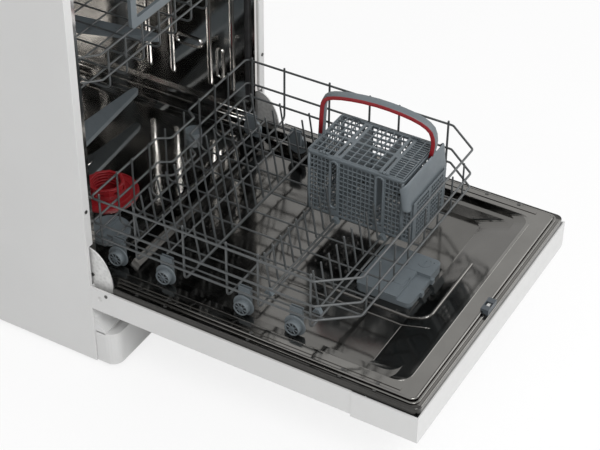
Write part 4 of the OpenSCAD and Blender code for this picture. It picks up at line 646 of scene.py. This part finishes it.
class DISHWASHER_OT_tub(bpy.types.Operator):
    """Finish the tub, its seal and rails, and the liner"""

    bl_idname = "dishwasher.tub"
    bl_label = "Tub and liner"

    def execute(self, context):
        c = colours()
        # One stainless steel in two tones: the liner's low tone is painted shade.
        tub = pressed_steel("stainless_tub", c.tub, 0.07, wear=0.02)
        # The liner's steel gets painted shade on its ledge and in its basin.
        liner = pressed_steel("stainless_liner", c.steel, 0.1, along=(40, 1, 40), zones=True)
        finish_nodes(tub, "tub_walls", "tub_back", "tub_floor", "guide_rails")
        finish_nodes(liner, "door_liner")
        finish_nodes(soft_rubber("seal_rubber", c.black), "tub_seal")
        self.beads(tub)
        self.rolled_edges(liner)
        return {"FINISHED"}

    def beads(self, material):
        """Half-round beads and oblong embosses of the walls, over their solids."""
        mesh = bmesh.new()
        bead = round_section(0.0053, 0.0026)
        ring = round_section(0.003, 0.0024, 10)
        low, high = WALL_BEAD_Z
        for side in (-1, 1):
            for y in WALL_BEADS:
                pillow(mesh, place(side * WALL_X, y, low), high - low, bead, -side * EAST)
            for y, z, half_y, half_z in WALL_OBLONGS:
                path = oblong_path(place(side * (WALL_X - 0.6), y, z), NORTH, UP, half_y, half_z)
                sweep(mesh, path, ring, closed=True, up=-side * EAST)
            for x, z in FOOT_EDGES:
                sweep(mesh, [place(side * x, y, z) for y in (4, 140, 400, 526)], round_section(0.0014))
        low, high = BACK_BEAD_Z
        for x in BACK_BEADS:
            pillow(mesh, place(x, BACK_Y, low), high - low, bead, -NORTH)
        new_piece("tub_beads", mesh, "cabinet", material)

    def rolled_edges(self, material):
        """Rolled outer edges of the liner's rim, ledge and recess, its step, and the basin's folds."""
        mesh = bmesh.new()
        roll = sizes().press_edge
        sunk = roll * 660  # two thirds of the roll, in millimetres
        for inset, z in ((RIM_INSET, RIM_Z), (0, LEDGE_Z)):
            path = trough_path(LINER[0] - inset - sunk, LINER[1] + inset + sunk, z - sunk, LINER_CORNER - sunk)
            sweep(mesh, path, round_section(roll))
        inset, lift = 9.4, 0.9
        sweep(mesh, trough_path(LINER[0] - inset, LINER[1] + inset, LEDGE_Z + lift, LINER_CORNER),
              rounded_section(0.005, 0.0036, 0.0012))
        half, front, corner = RECESS
        small = sunk * 0.6
        sweep(mesh, trough_path(half + small, front - small, RIM_Z - small, corner + small),
              round_section(roll * 0.6))
        self.fold(mesh, -80, 3.2, -300, 92)
        self.fold(mesh, -104, 1.6, -230, None)
        for start, end in CREASES:
            path = [place(start + share * (end - start), FOLD_CREASE_Y, FOLD_FLOOR_Z) for share in (0, 0.03, 0.97, 1)]
            sweep(mesh, path, round_section(0.0011), taper=[0.3, 1, 1, 0.3])
        new_piece("liner_rolled_edges", mesh, "cabinet", material)

    def fold(self, mesh, x, radius, rear, far):
        """Bright fold of the basin: forward over the floor, up the slope, and across it where it turns."""
        rise = (RIM_Z - FOLD_FLOOR_Z) / (FOLD_CREASE_Y - RECESS[1])
        turn_y, bend = FOLD_TURN
        route = [(x, y) for y in (rear, rear - 3, FOLD_CREASE_Y + 60, FOLD_CREASE_Y)]
        if far is None:
            route += [(x, FOLD_CREASE_Y - 20), (x, FOLD_CREASE_Y - 54)]
        else:
            route += arc(x + bend, turn_y + bend, bend, 180, 90, 6) + [(far - 3, turn_y), (far, turn_y)]
        path = [place(x, y, FOLD_FLOOR_Z + max(0.0, FOLD_CREASE_Y - y) * rise) for x, y in route]
        taper = [0.3] + [1] * (len(path) - 2) + [0.3]
        sweep(mesh, path, round_section(radius / 1000), taper=taper)


class DISHWASHER_OT_plastics(bpy.types.Operator):
    """Finish the basket, dispenser, arms, wheels and filter"""

    bl_idname = "dishwasher.plastics"
    bl_label = "Plastics"

    def execute(self, context):
        c = colours()
        plastic = finish_nodes(
            moulded("blue_grey_plastic", c.plastic), "dispenser", "dispenser_lid", "rinse_cap", "level_float",
            "salt_cap", "lower_spray_arm", "upper_spray_arm", "spray_feed", "upper_feed", "cutlery_basket",
            "basket_shield", "basket_handle", "basket_lid_left", "basket_lid_right", "rack_grip", "rack_clips",
            "wash_pump", "drain_pump", "water_inlet")
        wheel = finish_nodes(moulded("wheel_plastic", c.wheel), *[n for n in NODES if n.startswith("wheel_")])
        red = finish_nodes(moulded("red_plastic", c.red, 0.4), "filter_plate", "filter_cup")
        for name in ("dispenser", "dispenser_lid", "rack_grip", "lower_spray_arm", "upper_spray_arm"):
            soften(name, sizes().mould_edge)
        self.handle(plastic, red)
        self.basket_walls(plastic)
        self.basket_frames(plastic)
        self.shield(plastic)
        self.lids(plastic)
        self.wheels(wheel)
        self.filter_rings(red)
        return {"FINISHED"}

    def wheels(self, material):
        """Flanged wheels with eight thin spokes, in place of the plainer solids, each with a near-black ring of
        painted shade behind its spokes.
        """
        # Painted shade: near-black plastic for the ring that fills the spokes' openings with shade.
        painted_shade_plastic = moulded("wheel_painted_shade", (0.02, 0.022, 0.024), 0.6)
        for name in [n for n in NODES if n.startswith("wheel_")]:
            low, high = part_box(name)
            side = -1 if low[0] < 0 else 1
            axis = side * EAST
            face = Vector((low[0] if side < 0 else high[0], (low[1] + high[1]) / 2, (low[2] + high[2]) / 2))
            flange, width = (high[2] - low[2]) / 2, high[0] - low[0]
            tread, dish, hub, bore = 0.0142, 0.0118, 0.0048, 0.0031

            def ring(mesh, inner, outer, near, far, soft=0.0004):
                path = [face - axis * (near + far) / 2 + Vector((0, *at)) for at in circle((inner + outer) / 2, 40)]
                sweep(mesh, path, rounded_section(outer - inner, far - near, soft), closed=True, up=axis)

            mesh = bmesh.new()
            ring(mesh, dish, tread, 0, 0.0112, 0.0007)
            ring(mesh, dish, flange, 0.0108, width, 0.0008)
            ring(mesh, bore, hub, 0, width)
            for out in circle(1, 8, 0.2 * 8 / (2 * math.pi)):
                spoke = [face - axis * 0.0017 + Vector((0, *out)) * reach for reach in (hub - 0.0002, dish + 0.0002)]
                sweep(mesh, spoke, rounded_section(0.0013, 0.0022, 0.0003), up=axis)
            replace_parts(new_piece(name + "_spoked", mesh, name, material), name)
            # A ring of painted shade sunk behind the spokes, seen only through their openings.
            mesh = bmesh.new()
            ring(mesh, hub - 0.0002, dish + 0.0002, 0.0022, 0.003, 0.0002)
            new_piece(name + "_painted_shade", mesh, name, painted_shade_plastic)

    def filter_rings(self, material):
        """Lip and steps inside the filter cup, and the beads of its plate."""
        def ring(mesh, radius, z, width, height, sides):
            path = [place(FILTER[0] + x, FILTER[1] + y, z) for x, y in circle(radius, sides, 0.5)]
            sweep(mesh, path, rounded_section(width, height, min(width, height) * 0.4), closed=True)

        mesh = bmesh.new()
        ring(mesh, 32.6, 211.6, 0.0062, 0.0034, 8)
        for k in range(4):
            ring(mesh, 28.6 - 0.8 * k, 207 - 6 * k, 0.0034, 0.002, 48)
        for k in range(3):
            ring(mesh, 35.3, 193.5 + 2.6 * k, 0.0022, 0.0012, 48)
        new_piece("filter_cup_rings", mesh, "filter_cup", material)
        mesh = bmesh.new()
        ring(mesh, 60, 188.4, 0.0036, 0.003, 64)
        ring(mesh, 47, 188.2, 0.0022, 0.0018, 64)
        new_piece("filter_plate_beads", mesh, "cabinet", material)

    def handle(self, material, red):
        """Arched handle, with a red strip let into each side."""
        feet = [Vector((x, y, 0)) for x, y in HANDLE_FEET]
        run = feet[1] - feet[0]
        normal = run.normalized().cross(UP)
        path = [place(*(feet[0] + run * share).xy, z) for share, z in HANDLE_ARCH]
        mesh = bmesh.new()
        sweep(mesh, path, rounded_section(0.0092, 0.0175, 0.0016), up=normal)
        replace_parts(new_piece("arched_handle", mesh, "cutlery_basket", material),
                    "basket_handle")
        mesh = bmesh.new()
        for side in (-1, 1):
            strip = [(s, side * (0.0084 + t)) for s, t in rounded_section(0.0074, 0.0012, 0.0003)]
            sweep(mesh, path[2:-2], strip, up=normal)
        new_piece("handle_strips", mesh, "cutlery_basket", red)

    def basket_walls(self, material):
        """Fine grids of the walls, dividers and floor, and the compartment ahead of the body."""
        mesh = bmesh.new()
        x, y, z = BASKET_X, BASKET_Y, BASKET_Z
        thick = BASKET_WALL
        long, wide, height = y[1] - y[0], x[1] - x[0], z[1] - z[0]
        rows, open_rows = grid(height, ((6, height - 9),), 9.4, 1.7)
        # long walls, with a band left plain round each slot
        half = SLOT_HALF
        slots = [(s - y[0] - half, s - y[0] + half) for s in SLOT_Y]
        fields = ((5, slots[0][0] - half), (slots[0][1] + half, slots[1][0] - half), (slots[1][1] + half, long - 5))
        columns, open_columns, slot_columns = [0.0], set(), set()
        for start, end in sorted((*fields, *slots)):
            wanted = slot_columns if (start, end) in slots else open_columns
            cuts = [start, end] if (start, end) in slots else windows(start, end, 8.4, 1.7)
            wanted.update(range(len(columns), len(columns) + len(cuts), 2))
            columns += cuts
        columns.append(long)
        last = max(open_rows)
        for at, out in ((x[0], 1), (x[1], -1)):
            lattice(mesh, place(at + (thick if out < 0 else 0), y[0], z[0]), NORTH, UP, -thick * out, columns, rows,
                    lambda i, j: i in slot_columns and 2 <= j <= last or i in open_columns and j in open_rows)
        # end walls and dividers
        inside = wide - 2 * thick
        columns, open_columns = grid(inside, ((5, inside - 5),), 8.6, 1.7)
        for at in (y[0], y[1] - thick):
            lattice(mesh, place(x[0] + thick, at, z[0]), EAST, UP, -thick, columns, rows[:-1] + [height - 5],
                    lambda i, j: i in open_columns and j in open_rows)
        for at in DIVIDER_Y:
            lattice(mesh, place(x[0] + thick, at, z[0]), EAST, UP, -thick, [0, 14, 50, 71, 107, inside],
                    [0, 6, 26, height - 5], lambda i, j: i in (1, 3) and j == 1)
        # floor
        rows, open_rows = grid(long, ((6, long - 6),), 11, 5.4)
        columns, open_columns = grid(wide, ((6, wide - 6),), 11, 5.4)
        lattice(mesh, place(x[0], y[0], z[0]), EAST, NORTH, -thick, columns, rows,
                lambda i, j: i in open_columns and j in open_rows)
        # compartment ahead of the body: two windowed fields with plain posts
        deep = y[0] - BASKET_FRONT_Y - thick
        columns, open_columns = grid(wide, ((12, wide / 2 - 5), (wide / 2 + 5, wide - 12)), 8.4, 1.6)
        rows, open_rows = grid(FRONT_WALL_H, ((7, FRONT_WALL_H - 5),), 8.2, 1.6)
        lattice(mesh, place(x[0], BASKET_FRONT_Y, z[0]), EAST, UP, -thick, columns, rows,
                lambda i, j: i in open_columns and j in open_rows)
        columns, open_columns = grid(deep, ((3, deep - 3),), 6.6, 1.5)
        for at in (x[0], x[1] - thick):
            lattice(mesh, place(at, BASKET_FRONT_Y + thick, z[0]), NORTH, UP, -thick, columns, rows,
                    lambda i, j: i in open_columns and j in open_rows)
        lattice(mesh, place(x[0] + thick, BASKET_FRONT_Y + thick, z[0]), EAST, NORTH, -thick, [0, inside], [0, deep],
                lambda i, j: False)
        piece = new_piece("basket_walls", mesh, "cutlery_basket", material, smooth=False)
        bevel(piece, 0.0003, 1, 50)
        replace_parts(piece, "cutlery_basket")

    def lids(self, material):
        """Two lid halves of thin bars: rear field, slot, middle field, slot and comb, with their knuckles."""
        depth = BASKET_Y[1] - BASKET_Y[0] - 4
        half = LID_HALF
        # each field's start, end, pitch and width of windows; a field of no pitch is a long slot
        fields = ((0, 34, 14, 6.4), (34, 48, 0, 0), (48, 124, 14.6, 14), (124, 138, 0, 0), (138, depth, 12.6, 14))
        for name, at, side in (("basket_lid_left", BASKET_X[0] + 2.2, 1),
                               ("basket_lid_right", BASKET_X[1] - 2.2, -1)):
            mesh = bmesh.new()
            corner = place(at if side > 0 else at - half, BASKET_Y[0] + 2, LID_Z)
            for low, high, pitch, cell in fields:
                if pitch:
                    rows, open_rows = grid(high - low, ((1 if low else 2, high - low - 1.4),), pitch, 2)
                    columns, open_columns = grid(half, ((2.2, half - 2.2),), cell, 1.9)
                else:
                    rows, open_rows = [0, 4.6, 9.4, high - low], {1}
                    columns, open_columns = [0, 7, half - 7, half], {1}
                lattice(mesh, corner + NORTH * low / 1000, EAST, NORTH, -LID_T, columns, rows,
                        lambda i, j: i in open_columns and j in open_rows)
            for middle in [BASKET_Y[0] + y + k * 6.4 for y in LID_PINS for k in (-1, 0, 1)]:
                knuckle = [place(at - side * 0.6, middle + d, 378) for d in (-2.6, -2, 2, 2.6)]
                sweep(mesh, knuckle, round_section(0.0026, sides=14), taper=[0.8, 1, 1, 0.8])
            piece = new_piece(name + "_grid", mesh, name, material, smooth=False)
            bevel(piece, 0.0003, 1, 50)
            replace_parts(piece, name)

    def basket_frames(self, material):
        """Raised frames round the long slots, the rolled rim and the rounded corners."""
        mesh = bmesh.new()
        x, y = BASKET_X, BASKET_Y
        for side, wall in ((-1, x[0]), (1, x[1])):
            for at in SLOT_Y:
                path = oblong_path(place(wall + side * 0.6, at, SLOT_Z), NORTH, UP, 0.0077, 0.051)
                sweep(mesh, path, rounded_section(0.0042, 0.0044, 0.0013), closed=True, up=side * EAST)
        sweep(mesh, ring_path((x[0] - 0.6, x[1] + 0.6), (y[0] - 0.6, y[1] + 0.6), 372.6, 4.6),
              rounded_section(0.0026, 0.0058, 0.0012), closed=True)
        for post in [(i, j) for i in (x[0] + 2, x[1] - 2) for j in (y[0] + 2, y[1] - 2)]:
            sweep(mesh, [place(*post, z) for z in (246.8, 290, 330, 373)], round_section(0.003, sides=16), up=NORTH)
        new_piece("basket_frames", mesh, "cutlery_basket", material)

    def shield(self, material):
        """Leaning shield in front of the basket, its ends curled back and its top edge rolled."""
        middle, half, curl = SHIELD
        top, foot = SHIELD_PROFILE[0][1], SHIELD_PROFILE[-1][1]
        bend = [(x, curl + back) for x, back in arc(half - curl, 0, curl, 270, 90, 8)]
        mesh = bmesh.new()
        sheet = []
        for x, back in [(-x, back) for x, back in bend[::-1]] + bend:
            low, high = foot + back * 0.5, top - back * 1.1
            sheet.append([mesh.verts.new(place(middle + x, min(y + back, BASKET_Y[0] - 0.4),
                                               low + (z - foot) / (top - foot) * (high - low)))
                          for y, z in SHIELD_PROFILE])
        for a, b in zip(sheet, sheet[1:]):
            for i in range(len(SHIELD_PROFILE) - 1):
                mesh.faces.new((a[i], b[i], b[i + 1], a[i + 1]))
        piece = new_piece("leaning_shield", mesh, "cutlery_basket", material)
        thick = piece.modifiers.new("thickness", "SOLIDIFY")
        thick.thickness = 0.0022
        thick.offset = -1
        bevel(piece, 0.0006, 2, 50)
        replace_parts(piece, "basket_shield")


class DISHWASHER_OT_wires(bpy.types.Operator):
    """Finish the racks' wires and round their ends"""

    bl_idname = "dishwasher.wires"
    bl_label = "Wires"

    def execute(self, context):
        material = finish_nodes(dipped_wire("coated_wire", colours().wire), "rack_rails", "rack_wires", "rack_bends",
                                "rack_tines", "tine_row_front", "tine_row_rear", "upper_rack")
        for body, names in (("lower_rack", ("rack_rails", "rack_wires", "rack_tines", "rack_bends")),
                            ("tine_row_front", ("tine_row_front",)), ("tine_row_rear", ("tine_row_rear",)),
                            ("upper_rack", ("upper_rack",))):
            mesh = bmesh.new()
            for at, axis, radius in free_ends(names):
                dome(mesh, at, axis, radius, sizes().tip)
            new_piece(body + "_tips", mesh, body, material)
        return {"FINISHED"}


class DISHWASHER_OT_stage(bpy.types.Operator):
    """Make the floor, the light and the camera"""

    bl_idname = "dishwasher.stage"
    bl_label = "Stage"

    def execute(self, context):
        scene = context.scene
        view = scene.dishwasher_view
        scene.view_settings.view_transform = "Standard"

        mesh = bmesh.new()
        bmesh.ops.create_grid(mesh, x_segments=1, y_segments=1, size=30)
        data = bpy.data.meshes.new("floor")
        mesh.to_mesh(data)
        mesh.free()
        floor = bpy.data.objects.new("floor", data)
        floor.location.z = -0.0005
        scene.collection.objects.link(floor)
        f = Finish("floor_paint", (0.92, 0.92, 0.92), roughness=0.7)
        f.tone(f.noise(3, 3), 0.99, 1.01)
        lit = f.nodes.new("ShaderNodeEmission")
        blend = f.nodes.new("ShaderNodeMixShader")
        seen = f.nodes.new("ShaderNodeLightPath").outputs["Is Camera Ray"]
        f.links.new(f.math("MULTIPLY", seen, 0.8), blend.inputs[0])
        f.links.new(f.shader.outputs[0], blend.inputs[1])
        f.links.new(lit.outputs[0], blend.inputs[2])
        f.links.new(blend.outputs[0], f.nodes["Material Output"].inputs["Surface"])
        data.materials.append(f.material)

        world = bpy.data.worlds.new("world")
        scene.world = world
        world.use_nodes = True
        nodes, links = world.node_tree.nodes, world.node_tree.links
        background = nodes["Background"]
        background.inputs["Color"].default_value = (1, 1, 1, 1)
        path = nodes.new("ShaderNodeLightPath")
        seen = nodes.new("ShaderNodeMath")
        seen.operation = "MAXIMUM"
        links.new(path.outputs["Is Camera Ray"], seen.inputs[0])
        links.new(path.outputs["Is Glossy Ray"], seen.inputs[1])
        through = nodes.new("ShaderNodeMath")
        through.operation = "MAXIMUM"
        links.new(seen.outputs[0], through.inputs[0])
        links.new(path.outputs["Is Transmission Ray"], through.inputs[1])
        strength = nodes.new("ShaderNodeMapRange")
        strength.inputs["To Min"].default_value = view.sky
        strength.inputs["To Max"].default_value = 1.0
        links.new(through.outputs[0], strength.inputs["Value"])
        links.new(strength.outputs["Result"], background.inputs["Strength"])

        for name, at, aim, side, power in (
                ("key", (-1.6, -2.2, 3.0), (0, -0.1, 0.3), 1.6, view.key),
                ("fill", (2.2, -2.4, 2.2), (0, 0, 0.3), 2.2, view.key * 0.4)):
            lamp = bpy.data.lights.new(name, "AREA")
            lamp.size = side
            lamp.energy = power
            lamp_object = bpy.data.objects.new(name, lamp)
            lamp_object.location = at
            lamp_object.rotation_euler = (Vector(aim) - Vector(at)).to_track_quat("-Z", "Y").to_euler()
            scene.collection.objects.link(lamp_object)

        camera = bpy.data.objects.new("camera", bpy.data.cameras.new("camera"))
        camera.data.lens = view.lens
        camera.data.shift_x = 0.025
        camera.data.clip_start = 0.05
        camera.data.clip_end = 100
        a, e = math.radians(view.azimuth), math.radians(view.elevation)
        back = Vector((math.sin(a) * math.cos(e), -math.cos(a) * math.cos(e), math.sin(e)))
        camera.location = view.position
        camera.rotation_euler = (-back).to_track_quat("-Z", "Y").to_euler()
        scene.collection.objects.link(camera)
        scene.camera = camera
        return {"FINISHED"}


class DISHWASHER_PT_panel(bpy.types.Panel):
    """Lists the dishwasher's settings and operators"""

    bl_label = "Dishwasher"
    bl_idname = "DISHWASHER_PT_panel"
    bl_space_type = "VIEW_3D"
    bl_region_type = "UI"
    bl_category = "Dishwasher"

    def draw(self, context):
        layout = self.layout
        for group in (colours(), sizes(), context.scene.dishwasher_view):
            column = layout.column(align=True)
            for name in group.bl_rna.properties.keys():
                if name not in ("rna_type", "name"):
                    column.prop(group, name)
        for operator in OPERATORS:
            layout.operator(operator.bl_idname)


OPERATORS = (DISHWASHER_OT_cabinet, DISHWASHER_OT_tub, DISHWASHER_OT_plastics, DISHWASHER_OT_wires,
             DISHWASHER_OT_stage)
GROUPS = (DishwasherColours, DishwasherSizes, DishwasherView)


def register():
    for cls in (*GROUPS, *OPERATORS, DISHWASHER_PT_panel):
        bpy.utils.register_class(cls)
    bpy.types.Scene.dishwasher_colours = PointerProperty(type=DishwasherColours)
    bpy.types.Scene.dishwasher_sizes = PointerProperty(type=DishwasherSizes)
    bpy.types.Scene.dishwasher_view = PointerProperty(type=DishwasherView)


def unregister():
    del bpy.types.Scene.dishwasher_view
    del bpy.types.Scene.dishwasher_sizes
    del bpy.types.Scene.dishwasher_colours
    for cls in reversed((*GROUPS, *OPERATORS, DISHWASHER_PT_panel)):
        bpy.utils.unregister_class(cls)


def main():
    register()
    bpy.ops.dishwasher.cabinet()
    bpy.ops.dishwasher.tub()
    bpy.ops.dishwasher.plastics()
    bpy.ops.dishwasher.wires()
    bpy.ops.dishwasher.stage()


if __name__ == "__main__":
    main()
